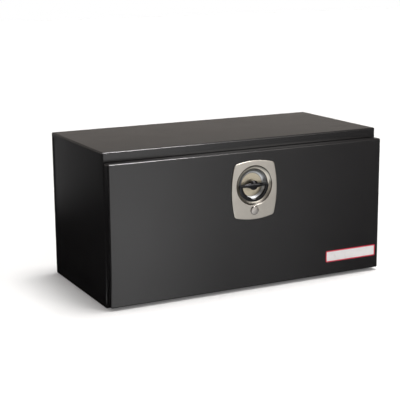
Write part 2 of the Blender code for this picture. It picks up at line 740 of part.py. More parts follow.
def make_door_channel(side):
    middle = side * (DOOR_HALF - DOOR_CHANNEL_SIDE_INSET)
    low = (middle - DOOR_CHANNEL_WIDTH / 2, DOOR_FACE + SHEET + FIT_GAP, LINER_BOTTOM + DOOR_CHANNEL_END_GAP)
    high = (middle + DOOR_CHANNEL_WIDTH / 2, DOOR_BACK - SHEET - FIT_GAP, LINER_TOP - DOOR_CHANNEL_END_GAP)
    channel = folded(side_name(side) + "_door_channel", low, high,
                     [(0, 1, 0), (0, 0, 1), (0, 0, -1)], BEND)
    finish(channel, "black_paint", DOOR)


def bowed_outline(inset):
    """The latch plate's outline: four bowed sides joined by round corners, drawn in by inset."""
    corner = PLATE_CORNER - inset
    half = PLATE_HALF_WIDTH - PLATE_SIDE_BOW - PLATE_CORNER
    above = PLATE_ABOVE - PLATE_END_BOW - PLATE_CORNER
    below = PLATE_BELOW - PLATE_END_BOW - PLATE_CORNER
    corners = [Vector(pair) for pair in ((-half, -below), (half, -below), (half, above), (-half, above))]
    bows = (PLATE_END_BOW, PLATE_SIDE_BOW, PLATE_END_BOW, PLATE_SIDE_BOW)
    swings = []
    radii = []
    for number, bow in enumerate(bows):
        reach = (corners[(number + 1) % 4] - corners[number]).length / 2
        radii.append((reach ** 2 + bow ** 2) / (2 * bow))
        swings.append(math.asin(reach / radii[-1]))
    points = []
    for number, bow in enumerate(bows):
        start = corners[number]
        end = corners[(number + 1) % 4]
        facing = (number - 1) * math.pi / 2
        outward = Vector((math.cos(facing), math.sin(facing)))
        centre = (start + end) / 2 - outward * (radii[number] - bow)
        points += arc(centre, radii[number] + corner, facing - swings[number], facing + swings[number])
        next_start = facing + math.pi / 2 - swings[(number + 1) % 4]
        points += arc(end, corner, facing + swings[number], next_start)[1:-1]
    return points


def latch_plane(depth):
    return plane_matrix(latch_point(0, depth, 0), (1, 0, 0), (0, 0, 1))


def make_latch_plate():
    """The bowed plate with the dish pressed into it and studs welded behind."""
    lock_hole = circle((0, -LOCK_BELOW), LOCK_CASE_RADIUS + FIT_GAP)
    plate = flat_plate("latch_plate", [bowed_outline(0), circle((0, 0), DISH_RADIUS, SIDES_DISH), lock_hole],
                       PLATE_SHEET, latch_plane(PLATE_SHEET / 2))
    bore = SPINDLE_RADIUS + FIT_GAP
    lip = PLATE_SHEET / 2
    inner = [(bore, DISH_DEPTH), (DISH_FLOOR_RADIUS, DISH_DEPTH), (DISH_LEDGE_RADIUS, DISH_LEDGE_DEPTH),
             (DISH_RADIUS + DISH_SHEET / 3, lip)]
    behind = DISH_DEPTH + DISH_SHEET
    outer = [(DISH_RADIUS + DISH_SHEET, lip),
             (DISH_LEDGE_RADIUS + DISH_SHEET, DISH_LEDGE_DEPTH + DISH_SHEET),
             (DISH_FLOOR_RADIUS + DISH_SHEET, behind), (bore, behind)]
    join(plate, turned("pressed_dish", inner + outer, LATCH_AXIS, (0, 1, 0), SIDES_DISH))
    reach = STUD_LENGTH / 2
    places = stud_places(PLATE_SHEET / 2 + reach)
    join(plate, rods("plate_studs", places, Vector((0, reach, 0)), STUD_RADIUS))
    finish_round(plate, "stainless", DOOR)


def make_latch_gasket():
    middle = PLATE_SHEET + FIT_GAP + LATCH_GASKET / 2
    holes = [circle((0, 0), DISH_RADIUS + DISH_SHEET + FIT_GAP, SIDES_DISH),
             circle((0, -LOCK_BELOW), LOCK_CASE_RADIUS + FIT_GAP)]
    studs = [circle((place.x - LATCH_ACROSS, place.z - LATCH_UP), STUD_RADIUS + FIT_GAP, SIDES_SMALL)
             for place in stud_places(middle)]
    gasket = flat_plate("latch_gasket", [bowed_outline(LATCH_GASKET)] + holes + studs, LATCH_GASKET,
                        latch_plane(middle))
    finish(gasket, "rubber", DOOR)


def make_latch_nuts():
    start = DOOR_FACE - PLATE_FACE + SHEET + FIT_GAP
    for number, place in enumerate(stud_places(start + NUT_HEIGHT / 2), 1):
        name = "latch_nut_" + str(number)
        nut = rods(name, [place], Vector((0, NUT_HEIGHT / 2, 0)), NUT_RADIUS, NUT_SIDES)
        cut(nut, rods("nut_bore_cutter", [place], Vector((0, NUT_HEIGHT, 0)), STUD_RADIUS + FIT_GAP))
        finish(nut, "zinc", DOOR)


def make_spindle():
    """The shaft with its domed hub and the crossbar that carries the ring."""
    end = PAWL_FACE - PLATE_FACE + PAWL + 2 * FIT_GAP + PAWL_NUT
    dome = HUB_DEPTH / 3
    profile = [(0, HUB_PROUD)]
    profile += [(HUB_RADIUS * math.sin(angle), HUB_PROUD + dome * (1 - math.cos(angle)))
                for angle in (math.pi / 6, math.pi / 3, math.pi / 2)]
    profile += [(HUB_RADIUS, HUB_DEPTH), (SPINDLE_RADIUS, HUB_DEPTH), (SPINDLE_RADIUS, end), (0, end)]
    spindle = turned("handle_spindle", profile, LATCH_AXIS, (0, 1, 0))
    across = Vector((CROSSBAR_HALF, 0, 0))
    join(spindle, rods("crossbar", [RING_AXIS], across, CROSSBAR_RADIUS, SIDES_ROUND))
    cut(spindle, rods("crossbar_bore", [RING_AXIS], across + Vector((CUT_OVERRUN, 0, 0)),
                      RING_PIN_RADIUS + RING_PIN_PLAY))
    finish_round(spindle, "chrome", HANDLE)
    pin = rods("ring_pin", [RING_AXIS], Vector((RING_LUG_END, 0, 0)), RING_PIN_RADIUS)
    finish_round(pin, "stainless", HANDLE)


def make_folding_ring():
    """Half a flattened ring below the crossbar, with a lug at each end."""
    bpy.ops.mesh.primitive_torus_add(major_radius=RING_RADIUS, minor_radius=RING_HALF_BAND,
                                     major_segments=SIDES_DISH, minor_segments=SIDES_SMALL)
    ring = bpy.context.object
    ring.name = "folding_ring"
    for collection in list(ring.users_collection):
        collection.objects.unlink(ring)
    PARTS.objects.link(ring)
    flatten = Matrix.Diagonal((1, 1, RING_HALF_THICK / RING_HALF_BAND, 1))
    ring.data.transform(Matrix.Translation(RING_AXIS) @ Matrix.Rotation(math.pi / 2, 4, "X") @ flatten)
    reach = RING_RADIUS + RING_HALF_BAND + CUT_OVERRUN
    low = RING_AXIS - Vector((reach, reach, 0))
    cut(ring, box("ring_half_cutter", low, RING_AXIS + Vector((reach, reach, reach))))
    lug = (RING_LUG_END - CROSSBAR_HALF - RING_SIDE_GAP) / 2
    middle = Vector((CROSSBAR_HALF + RING_SIDE_GAP + lug, 0, 0))
    places = [RING_AXIS - middle, RING_AXIS + middle]
    join(ring, rods("ring_lugs", places, Vector((lug, 0, 0)), CROSSBAR_RADIUS, SIDES_ROUND))
    cut(ring, rods("ring_bore", [RING_AXIS], Vector((reach, 0, 0)), RING_PIN_RADIUS + RING_PIN_PLAY))
    below = RING_RADIUS - RING_HALF_BAND + FINGER_NOTCH_BITE - FINGER_NOTCH_RADIUS
    notch = RING_AXIS - Vector((0, 0, below))
    through = Vector((0, RING_HALF_BAND, 0))
    cut(ring, rods("finger_notch", [notch], through, FINGER_NOTCH_RADIUS, SIDES_ROUND))
    finish_round(ring, "chrome", RING)


def make_spindle_bush():
    start = DISH_DEPTH + DISH_SHEET + FIT_GAP
    end = DOOR_BACK - PLATE_FACE
    bore = SPINDLE_RADIUS + SPINDLE_PLAY
    bush = turned("spindle_bush", [(bore, start), (BUSH_RADIUS, start), (BUSH_RADIUS, end), (bore, end)],
                  LATCH_AXIS, (0, 1, 0))
    finish_round(bush, "brass", DOOR)


def make_lock_disc():
    """A disc with a scallop for the key's cam at either end of the handle's turn."""
    middle = DISC_FACE - PLATE_FACE + LOCK_DISC / 2
    disc = flat_plate("lock_disc", [circle((0, 0), LOCK_DISC_RADIUS, SIDES_DISH),
                                    circle((0, 0), SPINDLE_RADIUS + SPINDLE_PLAY)],
                      LOCK_DISC, latch_plane(middle))
    places = [latch_point(0, middle, -LOCK_BELOW), latch_point(-LOCK_BELOW, middle, 0)]
    sweep = LOCK_CAM_REACH + LOCK_CAM_PLAY
    cut(disc, rods("scallop_cutters", places, Vector((0, LOCK_DISC, 0)), sweep, SIDES_DISH))
    finish_round(disc, "zinc", HANDLE)


def make_pawl():
    middle = PAWL_FACE - PLATE_FACE + PAWL / 2
    outline = stadium(0, PAWL_REACH - PAWL_WIDTH / 2, PAWL_WIDTH / 2)
    pawl = flat_plate("latch_pawl", [outline, circle((0, 0), SPINDLE_RADIUS + SPINDLE_PLAY)], PAWL,
                      latch_plane(middle))
    finish(pawl, "zinc", HANDLE)
    start = PAWL_FACE - PLATE_FACE + PAWL + FIT_GAP
    place = [latch_point(0, start + PAWL_NUT / 2, 0)]
    across = PAWL_NUT_RADIUS + SPINDLE_RADIUS / 2
    nut = rods("pawl_nut", place, Vector((0, PAWL_NUT / 2, 0)), across, NUT_SIDES)
    bore = SPINDLE_RADIUS + SPINDLE_PLAY
    cut(nut, rods("pawl_nut_bore", place, Vector((0, PAWL_NUT, 0)), bore, SIDES_ROUND))
    finish(nut, "zinc", HANDLE)


def make_disc_spacer():
    """A sleeve on the spindle that holds the pawl away from the lock disc."""
    start = DISC_FACE - PLATE_FACE + LOCK_DISC + FIT_GAP
    end = PAWL_FACE - PLATE_FACE - FIT_GAP
    bore = SPINDLE_RADIUS + SPINDLE_PLAY
    outer = PAWL_NUT_RADIUS
    sleeve = turned("spindle_sleeve", [(bore, start), (outer, start), (outer, end), (bore, end)],
                    LATCH_AXIS, (0, 1, 0))
    finish_round(sleeve, "zinc", HANDLE)


def make_key_lock():
    bore = LOCK_PLUG_RADIUS + LOCK_PLUG_PLAY
    seat = -FIT_GAP
    face = seat - LOCK_BEZEL
    rear = DOOR_BACK - PLATE_FACE
    case = turned("lock_case", [(bore, face), (LOCK_BEZEL_RADIUS, face), (LOCK_BEZEL_RADIUS, seat),
                                (LOCK_CASE_RADIUS, seat), (LOCK_CASE_RADIUS, rear), (bore, rear)],
                  LOCK_AXIS, (0, 1, 0))
    rivet_seat = [COVER_AXIS + Vector((0, face, 0))]
    cut(case, rods("cover_rivet_cutter", rivet_seat, Vector((0, LOCK_BEZEL / 2, 0)),
                   COVER_RIVET_RADIUS + RING_PIN_PLAY))
    finish_round(case, "stainless", DOOR)

    nut_start = DOOR_FACE - PLATE_FACE + SHEET + FIT_GAP
    place = [LOCK_AXIS + Vector((0, nut_start + LOCK_DISC, 0))]
    nut = rods("lock_nut", place, Vector((0, LOCK_DISC, 0)), LOCK_BEZEL_RADIUS, NUT_SIDES)
    cut(nut, rods("lock_nut_bore", place, Vector((0, 2 * LOCK_DISC, 0)),
                  LOCK_CASE_RADIUS + FIT_GAP, SIDES_ROUND))
    finish(nut, "zinc", DOOR)

    cam_front = DISC_FACE - PLATE_FACE
    neck = LOCK_CAM_WIDTH / 3
    tail = cam_front + LOCK_DISC + FIT_GAP
    plug_face = face + LOCK_PLUG_RECESS
    plug = turned("lock_plug", [(0, plug_face), (LOCK_PLUG_RADIUS, plug_face),
                                (LOCK_PLUG_RADIUS, cam_front - FIT_GAP), (neck, cam_front - FIT_GAP),
                                (neck, tail), (LOCK_PLUG_RADIUS, tail), (LOCK_PLUG_RADIUS, tail + LOCK_DISC),
                                (0, tail + LOCK_DISC)], LOCK_AXIS, (0, 1, 0))
    keyway = Vector((KEYWAY_WIDTH / 2, KEYWAY_DEPTH, KEYWAY_HEIGHT / 2))
    mouth = LOCK_AXIS + Vector((0, plug_face, 0))
    cut(plug, box("keyway_cutter", mouth - keyway, mouth + keyway))
    finish_round(plug, "brass", LOCK)

    half = LOCK_CAM_WIDTH / 2
    swing = math.asin(half / LOCK_CAM_REACH)
    outline = arc((0, 0), LOCK_CAM_REACH, -swing, swing) + arc((0, 0), half, math.pi / 2, 3 * math.pi / 2)
    middle = LOCK_AXIS + Vector((0, cam_front + LOCK_DISC / 2, 0))
    cam = flat_plate("lock_cam", [outline, circle((0, 0), neck + FIT_GAP, SIDES_SMALL)], LOCK_DISC,
                     plane_matrix(middle, (1, 0, 0), (0, 0, 1)))
    finish(cam, "zinc", LOCK)


def make_lock_cover():
    """A domed cover that hangs from a rivet near its top and swings aside from the keyway."""
    back = -LOCK_BEZEL - 2 * FIT_GAP
    angles = [number * math.pi / 2 / ARC_STEPS for number in range(ARC_STEPS + 1)]
    crown = COVER_RISE - COVER_RIM
    profile = [(COVER_RADIUS * math.sin(angle), back - COVER_RIM - crown * math.cos(angle))
               for angle in angles]
    profile[0] = (0, back - COVER_RISE)
    profile += [(COVER_RADIUS, back), (0, back)]
    cover = turned("lock_cover", profile, LOCK_AXIS, (0, 1, 0))
    cut(cover, rods("cover_bore", [COVER_AXIS], Vector((0, CUT_OVERRUN + COVER_RISE, 0)),
                    COVER_RIVET_RADIUS + RING_PIN_PLAY))
    finish_round(cover, "stainless", COVER)
    head = back - COVER_RISE - FIT_GAP
    seat = back + FIT_GAP + LOCK_BEZEL / 3
    shank = COVER_RIVET_RADIUS
    outline = [(0, head - COVER_RIM), (2 * shank, head - COVER_RIM), (2 * shank, head),
               (shank, head), (shank, seat), (0, seat)]
    rivet = turned("cover_rivet", outline, COVER_AXIS, (0, 1, 0), SIDES_SMALL)
    finish_round(rivet, "stainless", DOOR)


def rounded_rectangle(half_width, half_height, corner):
    points = []
    for number, (x, z) in enumerate(((1, 1), (-1, 1), (-1, -1), (1, -1))):
        centre = (x * (half_width - corner), z * (half_height - corner))
        points += arc(centre, corner, number * math.pi / 2, (number + 1) * math.pi / 2, ARC_STEPS // 2)
    return points


def make_badge():
    """A plain plate inside a raised rim."""
    half_width = BADGE_WIDTH / 2
    half_height = BADGE_HEIGHT / 2
    rim_hole = rounded_rectangle(half_width - BADGE_BORDER, half_height - BADGE_BORDER,
                                 BADGE_CORNER - BADGE_BORDER)
    inset = BADGE_BORDER + FIT_GAP
    field = rounded_rectangle(half_width - inset, half_height - inset, BADGE_CORNER - inset)
    places = (("badge_plate", [field], BADGE_THICK, "badge_white"),
              ("badge_rim", [rounded_rectangle(half_width, half_height, BADGE_CORNER), rim_hole],
               BADGE_THICK + BADGE_BORDER_RISE, "badge_red"))
    for name, loops, thick, look in places:
        origin = Vector((BADGE_CENTRE_ACROSS, DOOR_FACE - FIT_GAP - thick / 2, BADGE_CENTRE_UP))
        finish(flat_plate(name, loops, thick, plane_matrix(origin, (1, 0, 0), (0, 0, 1))), look, DOOR)


def make_body():
    make_top_panel()
    make_floor_panel()
    make_back_panel()
    make_drain_plugs()
    make_door_seal()
    make_striker()
    for side in (-1, 1):
        make_end_panel(side)
        make_roof_channel(side)
        make_stay_post(side)
        make_stay_retainer(side)


def make_door():
    make_door_skin()
    make_door_liner()
    make_badge()
    for side in (-1, 1):
        make_door_channel(side)
        make_stay_tab(side)
        make_stay(side)
        make_stay_pivot(side)
        make_tab_rivets(side)


def make_latch():
    make_latch_plate()
    make_latch_gasket()
    make_latch_nuts()
    make_spindle()
    make_folding_ring()
    make_spindle_bush()
    make_lock_disc()
    make_disc_spacer()
    make_pawl()
    make_key_lock()
    make_lock_cover()


make_body()
make_hinge()
make_door()
make_latch()
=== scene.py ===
"""The looks of the underbody truck tool box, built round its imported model. Metres, +Y to the back."""

import json
import math

import bmesh
import bpy
from mathutils import Matrix, Vector


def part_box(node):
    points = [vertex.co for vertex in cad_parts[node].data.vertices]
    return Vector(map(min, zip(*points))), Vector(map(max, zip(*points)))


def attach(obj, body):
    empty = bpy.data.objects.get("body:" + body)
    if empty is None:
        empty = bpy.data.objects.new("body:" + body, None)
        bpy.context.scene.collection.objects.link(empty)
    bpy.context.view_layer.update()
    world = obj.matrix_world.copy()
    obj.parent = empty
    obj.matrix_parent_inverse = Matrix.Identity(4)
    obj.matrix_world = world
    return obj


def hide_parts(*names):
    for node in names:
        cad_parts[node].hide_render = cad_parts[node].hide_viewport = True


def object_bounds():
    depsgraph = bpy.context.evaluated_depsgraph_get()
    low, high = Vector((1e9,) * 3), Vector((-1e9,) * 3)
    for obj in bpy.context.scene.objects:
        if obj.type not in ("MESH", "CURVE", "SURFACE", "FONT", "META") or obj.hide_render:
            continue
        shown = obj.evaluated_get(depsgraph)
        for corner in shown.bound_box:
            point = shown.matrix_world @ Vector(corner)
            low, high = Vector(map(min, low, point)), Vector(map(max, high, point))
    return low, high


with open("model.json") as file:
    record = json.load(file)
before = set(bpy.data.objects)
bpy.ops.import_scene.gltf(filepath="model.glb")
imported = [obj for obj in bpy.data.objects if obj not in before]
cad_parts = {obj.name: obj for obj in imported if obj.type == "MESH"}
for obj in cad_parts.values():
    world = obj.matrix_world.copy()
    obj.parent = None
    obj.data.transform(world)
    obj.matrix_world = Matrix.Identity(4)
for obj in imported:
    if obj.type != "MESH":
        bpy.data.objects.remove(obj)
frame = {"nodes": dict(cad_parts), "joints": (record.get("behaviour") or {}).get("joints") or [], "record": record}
CAD_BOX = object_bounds()
NODES = frame["nodes"]
JOINTS = {joint["name"]: joint for joint in frame["joints"]}

# Camera, as the photograph was taken
CAMERA_PLACE = Vector((-1.564, -3.020, 0.981))
CAMERA_TURN = math.radians(-26.62)
CAMERA_DIP = math.radians(12.47)
CAMERA_ROLL = math.radians(-0.52)
CAMERA_LENS = 99.1
CAMERA_REACH = 60.0
SENSOR = 36.0

# World: its strength on matt surfaces. In gloss and glass it is white at the horizon and fades to the strength of
# the walls, between two heights that are given as the sine of the elevation. The tints are those of matt and gloss.
ROOM_FILL = 0.36
ROOM_WALLS = 0.14
BACKDROP_FADE = (1.0, ROOM_WALLS, 0.0, 0.17)
FILL_TINT = (1.0, 0.97, 0.95)
GLOSS_TINT = (1.0, 0.92, 0.85)
WHITE = (1, 1, 1, 1)

# Broad sun: the way it shines, its strength, its angle in degrees and its colour
SUN_WAY = (-0.185, 0.03, -0.98)
SUN_POWER = 2.3
SUN_ANGLE = 24.0
SUN_COLOUR = (1.0, 0.99, 0.98)

# Square lamps: name, place, target, width, watts, opening in degrees, colour, and whether they light matt surfaces
LAMPS = (
    ("key", (0.34, -1.60, 1.95), (-0.1, -0.1, 0.2), 0.7, 5.0, 180, (1.0, 0.97, 0.97), True),
    ("spark", (0.36, -1.62, 1.95), (-0.62, -0.2, 0.42), 0.7, 1.4, 20, (1.0, 0.96, 0.98), False),
    ("front", (1.15, -2.35, 1.15), (0.0, -0.25, 0.3), 0.9, 9.0, 180, (1.0, 0.98, 0.95), True),
)

# Floor: half its width, its drop below the box, its grey, its roughness, and its glow for the camera and in glass
FLOOR_HALF = 14.0
FLOOR_DROP = 0.0002
FLOOR_GREY = 0.9
FLOOR_ROUGHNESS = 0.9
FLOOR_GLOW = 0.10

# What gloss sees of the floor: a glow without a shadow. In front of the door it is shaded along lines that fan out
# from FAN_CENTRE, and behind that there is one lighter band, along lines from BAND_CENTRE. Both are fixed points:
# the photo camera's place mirrored in the plane of the door and in that of the left end. This isn't to be copied.
# It paints light by where a camera stands, most of FAN's levels were worked out from the photo's brightness along
# the door, and gloss doesn't see the white floor, with the shadow, that the camera sees.
# A line's share is its way sideways over its way forwards from the centre. FAN gives levels by share, with FAN_SIDE
# past both ends. BAND and the fades hold a first level, a last level, and where one ends and the other begins, by
# share or by Y.
FAN_CENTRE = (-1.56, 2.51)
FAN = ((0.30, 0.05), (0.37, 1.20), (0.42, 1.26), (0.46, 1.03), (0.50, 0.75), (0.53, 0.57), (0.615, 0.40),
       (0.655, 0.26), (0.71, 0.14))
FAN_SIDE = 0.03
FAN_FADE = (1.0, 0.78, -1.1, -0.3)
BAND_CENTRE = (0.646, -3.02)
BAND = (0.30, 0.01, 0.334, 0.354)
BAND_FADE = (0.0, 1.0, 0.85, 1.5)

# Modelling: one millimetre, the distance at which points merge, the cosine above which two directions are the
# same, the weight that keeps large faces flat, and the sides of round pieces
MM = 0.001
MERGE = 0.01 * MM
SAME_WAY = 0.9
FLAT_WEIGHT = 100
ROUND_SIDES = 96
BAR_SIDES = 48

# Angles below which an edge is shaded round. Above the first, an edge is also sharp enough to be bevelled.
SHEET_ANGLE = math.radians(35)
HANDLE_ANGLE = math.radians(40)
PRESSED_ANGLE = math.radians(50)
SEAL_ANGLE = math.radians(60)

# Sheet metal: OVERRUN is how far a cutter reaches past what it cuts, LAP how wide the lips of the top and floor are
SHEET = 0.0016
GAP = 0.0003
BEND = 0.004
BEND_STEPS = 6
OVERRUN = 0.005
LAP = 0.012
DOOR_BEND = 0.0045
DRAIN_HOLE = 0.0063

# Seal; badge, with each piece's solid, name, slot and corner
SEAL_WIDTH = 0.010
SEAL_TURN = 0.012
SEAL_SIDES = 20
SEAL_SQUARENESS = 0.7
TURN_STEPS = 8
BADGE_PIECES = (("badge_rim", "badge_frame", "badge_red", 4 * MM),
                ("badge_plate", "badge_field", "badge_white", 1.4 * MM))
BADGE_EDGE = 0.25 * MM
BADGE_EDGE_STEPS = 3

# Paint: the two shades it varies between, and its specular level, which was set to suit FAN
PAINT_DARK = (0.0098, 0.0092, 0.0098)
PAINT_LIGHT = (0.0112, 0.0105, 0.0112)
PAINT_SPECULAR = 0.7

# Latch plate: corners and bows of its outline, its thickness, and steps along a side and round a corner
PLATE_CORNER = 0.010
PLATE_SIDE_BOW = 0.0090
PLATE_END_BOW = 0.0075
PLATE_THICK = 0.0015
SIDE_STEPS = 36
CORNER_STEPS = 14

# Dish: radii and depths of its rim, ledge and floor, its sheet, its steps down, and the holes of the latch and lock
DISH_RADIUS = 0.060
LEDGE_RADIUS = 0.0495
LEDGE_DEPTH = 0.009
FLOOR_RADIUS = 0.035
DISH_DEPTH = 0.020
DISH_SHEET = 0.0012
BOWL_STEPS = 8
DISH_HOLE = 0.0605
SPINDLE_HOLE = 0.0074
LOCK_HOLE = 0.0103

# Plate's colour, and what it is multiplied by in the dish, from the middle out, by share of the dish's radius. The
# dish's multipliers are painted light and shade: a lighter, warmer sheen on its floor, a lighter sheen on its
# ledge, a bluish reflection on its steep wall and shade in its creases.
PLATE_COLOUR = (0.74, 0.70, 0.635)
DISH_FLOOR_SHEEN = (1.1, 1.05, 0.9)
DISH_LEDGE_SHEEN = (1.15, 1.15, 1.12)
DISH_WALL_REFLECTION = (1.05, 1.14, 1.28)
DISH_CREASE_SHADE = (0.25, 0.24, 0.24)
DISH_PAINTED_BANDS = ((0.57, DISH_FLOOR_SHEEN), (0.585, DISH_CREASE_SHADE), (0.61, DISH_WALL_REFLECTION), (0.79, DISH_WALL_REFLECTION), (0.815, DISH_CREASE_SHADE),
              (0.84, DISH_LEDGE_SHEEN), (0.95, DISH_LEDGE_SHEEN), (0.975, DISH_CREASE_SHADE), (0.99, DISH_CREASE_SHADE))

# Handle: its domed hub and shaft, and its crossbar, which is BAR_HEIGHT times as high as it is thick
HUB_RADIUS = 0.0145
HUB_DEPTH = 0.0133
HUB_RISE = 4.5 * MM
HUB_STEPS = 10
SHAFT_RADIUS = 0.007
BAR_RADIUS = 0.004
BAR_HEIGHT = 1.3
BAR_GAP = 0.0006
BAR_SWELL = 1.8 * MM
BAR_TAPER = 0.66
BAR_EDGE = 0.6 * MM

# Ring: its section, its lugs and its finger notch
RING_HALF_BAND = 0.0062
RING_HALF_THICK = 0.0036
RING_STEPS = 72
RING_SIDES = 32
RING_SQUARENESS = 0.8
LUG_END = 0.048
LUG_EDGE = 0.5 * MM
NOTCH_RADIUS = 0.0138
NOTCH_RISE = 8 * MM

# Lock
PLUG_RADIUS = 0.006
BEZEL_SEAT = 1.2 * MM
DOME_STEPS = 14

LATCH = Vector(JOINTS["handle_turn"]["pos_m"])
LOCK = Vector(JOINTS["key_turn"]["pos_m"])
RING_AXIS = Vector(JOINTS["ring_fold"]["pos_m"])


def principled(name):
    """A new material and its node tools: the tree, the shader and the object coordinates."""
    material = bpy.data.materials.new(name)
    material.use_nodes = True
    tree = material.node_tree
    shader = tree.nodes["Principled BSDF"]
    coordinates = tree.nodes.new("ShaderNodeTexCoord").outputs["Object"]
    return material, tree, shader, coordinates


def scaled(tree, vector, scale):
    """A vector stretched along its axes."""
    mapping = tree.nodes.new("ShaderNodeMapping")
    mapping.inputs["Scale"].default_value = scale
    tree.links.new(vector, mapping.inputs["Vector"])
    return mapping.outputs["Vector"]


def noise(tree, vector, scale, detail=3.0):
    """Soft noise over a vector."""
    texture = tree.nodes.new("ShaderNodeTexNoise")
    texture.inputs["Scale"].default_value = scale
    texture.inputs["Detail"].default_value = detail
    texture.inputs["Roughness"].default_value = 0.5
    tree.links.new(vector, texture.inputs["Vector"])
    return texture.outputs["Fac"]


def spread(tree, value, low, high, start=0.3, end=0.7):
    """Map the range from start to end, at first the middle range of a texture, onto low to high."""
    remap = tree.nodes.new("ShaderNodeMapRange")
    for socket, number in (("From Min", start), ("From Max", end), ("To Min", low), ("To Max", high)):
        remap.inputs[socket].default_value = number
    tree.links.new(value, remap.inputs["Value"])
    return remap.outputs["Result"]


def blended(tree, value, first, second):
    """A colour between two, by a value from 0 to 1."""
    mix = tree.nodes.new("ShaderNodeMix")
    mix.data_type = "RGBA"
    mix.inputs["A"].default_value = (*first, 1)
    mix.inputs["B"].default_value = (*second, 1)
    tree.links.new(value, mix.inputs["Factor"])
    return mix.outputs["Result"]


def computed(tree, operation, *values):
    """A Math node on sockets and plain numbers."""
    step = tree.nodes.new("ShaderNodeMath")
    step.operation = operation
    for socket, value in zip(step.inputs, values):
        if isinstance(value, (int, float)):
            socket.default_value = value
        else:
            tree.links.new(value, socket)
    return step.outputs["Value"]


def stepped(tree, value, stops, first, last):
    """A colour ramp over a value, from a first colour through (share, colour) stops to a last."""
    bands = tree.nodes.new("ShaderNodeValToRGB")
    shades = bands.color_ramp
    shades.elements[0].color = (*first, 1)
    shades.elements[1].color = (*last, 1)
    for share, colour in stops:
        shades.elements.new(share).color = (*colour, 1)
    tree.links.new(value, bands.inputs["Fac"])
    return bands.outputs["Color"]


def bumped(tree, shader, height, strength, distance):
    """Let a height roughen a shader's normal."""
    bump = tree.nodes.new("ShaderNodeBump")
    bump.inputs["Strength"].default_value = strength
    bump.inputs["Distance"].default_value = distance
    tree.links.new(height, bump.inputs["Height"])
    tree.links.new(bump.outputs["Normal"], shader.inputs["Normal"])


def powder_coat():
    """Black coating with fine orange peel and a slightly uneven colour and gloss."""
    material, tree, shader, place = principled("black_powder_coat")
    cloud = noise(tree, place, scale=9.0, detail=4.0)
    colour = blended(tree, spread(tree, cloud, 0.0, 1.0), PAINT_DARK, PAINT_LIGHT)
    tree.links.new(colour, shader.inputs["Base Color"])
    gloss = spread(tree, noise(tree, place, scale=14.0), 0.20, 0.23)
    tree.links.new(gloss, shader.inputs["Roughness"])
    shader.inputs["Specular IOR Level"].default_value = PAINT_SPECULAR
    bumped(tree, shader, noise(tree, place, scale=900.0, detail=2.0), strength=0.06, distance=0.0004)
    return material


def satin_steel(name, colour, along, rough, grain=0.10):
    """Stainless steel brushed along one axis, with soft smudges."""
    material, tree, shader, place = principled(name)
    stretch = [1100.0, 1100.0, 1100.0]
    stretch[along] = 18.0
    lines = noise(tree, scaled(tree, place, stretch), scale=1.0, detail=2.0)
    smudge = noise(tree, place, scale=30.0, detail=4.0)
    darker = [channel * 0.90 for channel in colour]
    tree.links.new(blended(tree, spread(tree, smudge, 0.0, 1.0), darker, colour), shader.inputs["Base Color"])
    tree.links.new(spread(tree, lines, rough - 0.05, rough + 0.07), shader.inputs["Roughness"])
    shader.inputs["Metallic"].default_value = 1.0
    bumped(tree, shader, lines, strength=grain, distance=0.0002)
    return material


def pressed_steel(name):
    """Satin stainless plate with a painted sheen, a painted wall reflection and painted shade in the creases of its
    dish.
    """
    material = satin_steel(name, PLATE_COLOUR, 2, 0.34)
    tree = material.node_tree
    shader = tree.nodes["Principled BSDF"]
    middle = tree.nodes.new("ShaderNodeMapping")
    middle.vector_type = "TEXTURE"
    middle.inputs["Location"].default_value = LATCH
    middle.inputs["Scale"].default_value = (DISH_RADIUS, 1.0, DISH_RADIUS)
    tree.links.new(tree.nodes.new("ShaderNodeTexCoord").outputs["Object"], middle.inputs["Vector"])
    flat = scaled(tree, middle.outputs["Vector"], (1, 0, 1))
    radius = tree.nodes.new("ShaderNodeVectorMath")
    radius.operation = "LENGTH"
    tree.links.new(flat, radius.inputs[0])
    # Painted sheen, painted wall reflection and painted crease shade, by share of the dish's radius
    bands = stepped(tree, radius.outputs["Value"], DISH_PAINTED_BANDS, DISH_FLOOR_SHEEN, WHITE[:3])
    tint = tree.nodes.new("ShaderNodeMix")
    tint.data_type = "RGBA"
    tint.blend_type = "MULTIPLY"
    tint.inputs["Factor"].default_value = 1.0
    tree.links.new(shader.inputs["Base Color"].links[0].from_socket, tint.inputs["A"])
    tree.links.new(bands, tint.inputs["B"])
    tree.links.new(tint.outputs["Result"], shader.inputs["Base Color"])
    return material


def polished(name, colour, rough):
    """Smooth metal with faint wipe marks."""
    material, tree, shader, place = principled(name)
    smudge = noise(tree, place, scale=60.0, detail=5.0)
    brighter = [min(1.0, channel * 1.06) for channel in colour]
    tree.links.new(blended(tree, spread(tree, smudge, 0.0, 1.0), colour, brighter), shader.inputs["Base Color"])
    tree.links.new(spread(tree, smudge, rough * 0.7, rough * 1.6), shader.inputs["Roughness"])
    shader.inputs["Metallic"].default_value = 1.0
    return material


def zinc_plate():
    """Zinc plating with its patchy crystals."""
    material, tree, shader, place = principled("zinc_plating")
    cells = tree.nodes.new("ShaderNodeTexVoronoi")
    cells.inputs["Scale"].default_value = 260.0
    tree.links.new(place, cells.inputs["Vector"])
    patches = spread(tree, cells.outputs["Distance"], 0.0, 1.0, 0.0, 0.8)
    tree.links.new(blended(tree, patches, (0.50, 0.50, 0.49), (0.62, 0.62, 0.60)), shader.inputs["Base Color"])
    tree.links.new(spread(tree, noise(tree, place, scale=45.0), 0.30, 0.46), shader.inputs["Roughness"])
    shader.inputs["Metallic"].default_value = 1.0
    bumped(tree, shader, patches, strength=0.05, distance=0.0002)
    return material


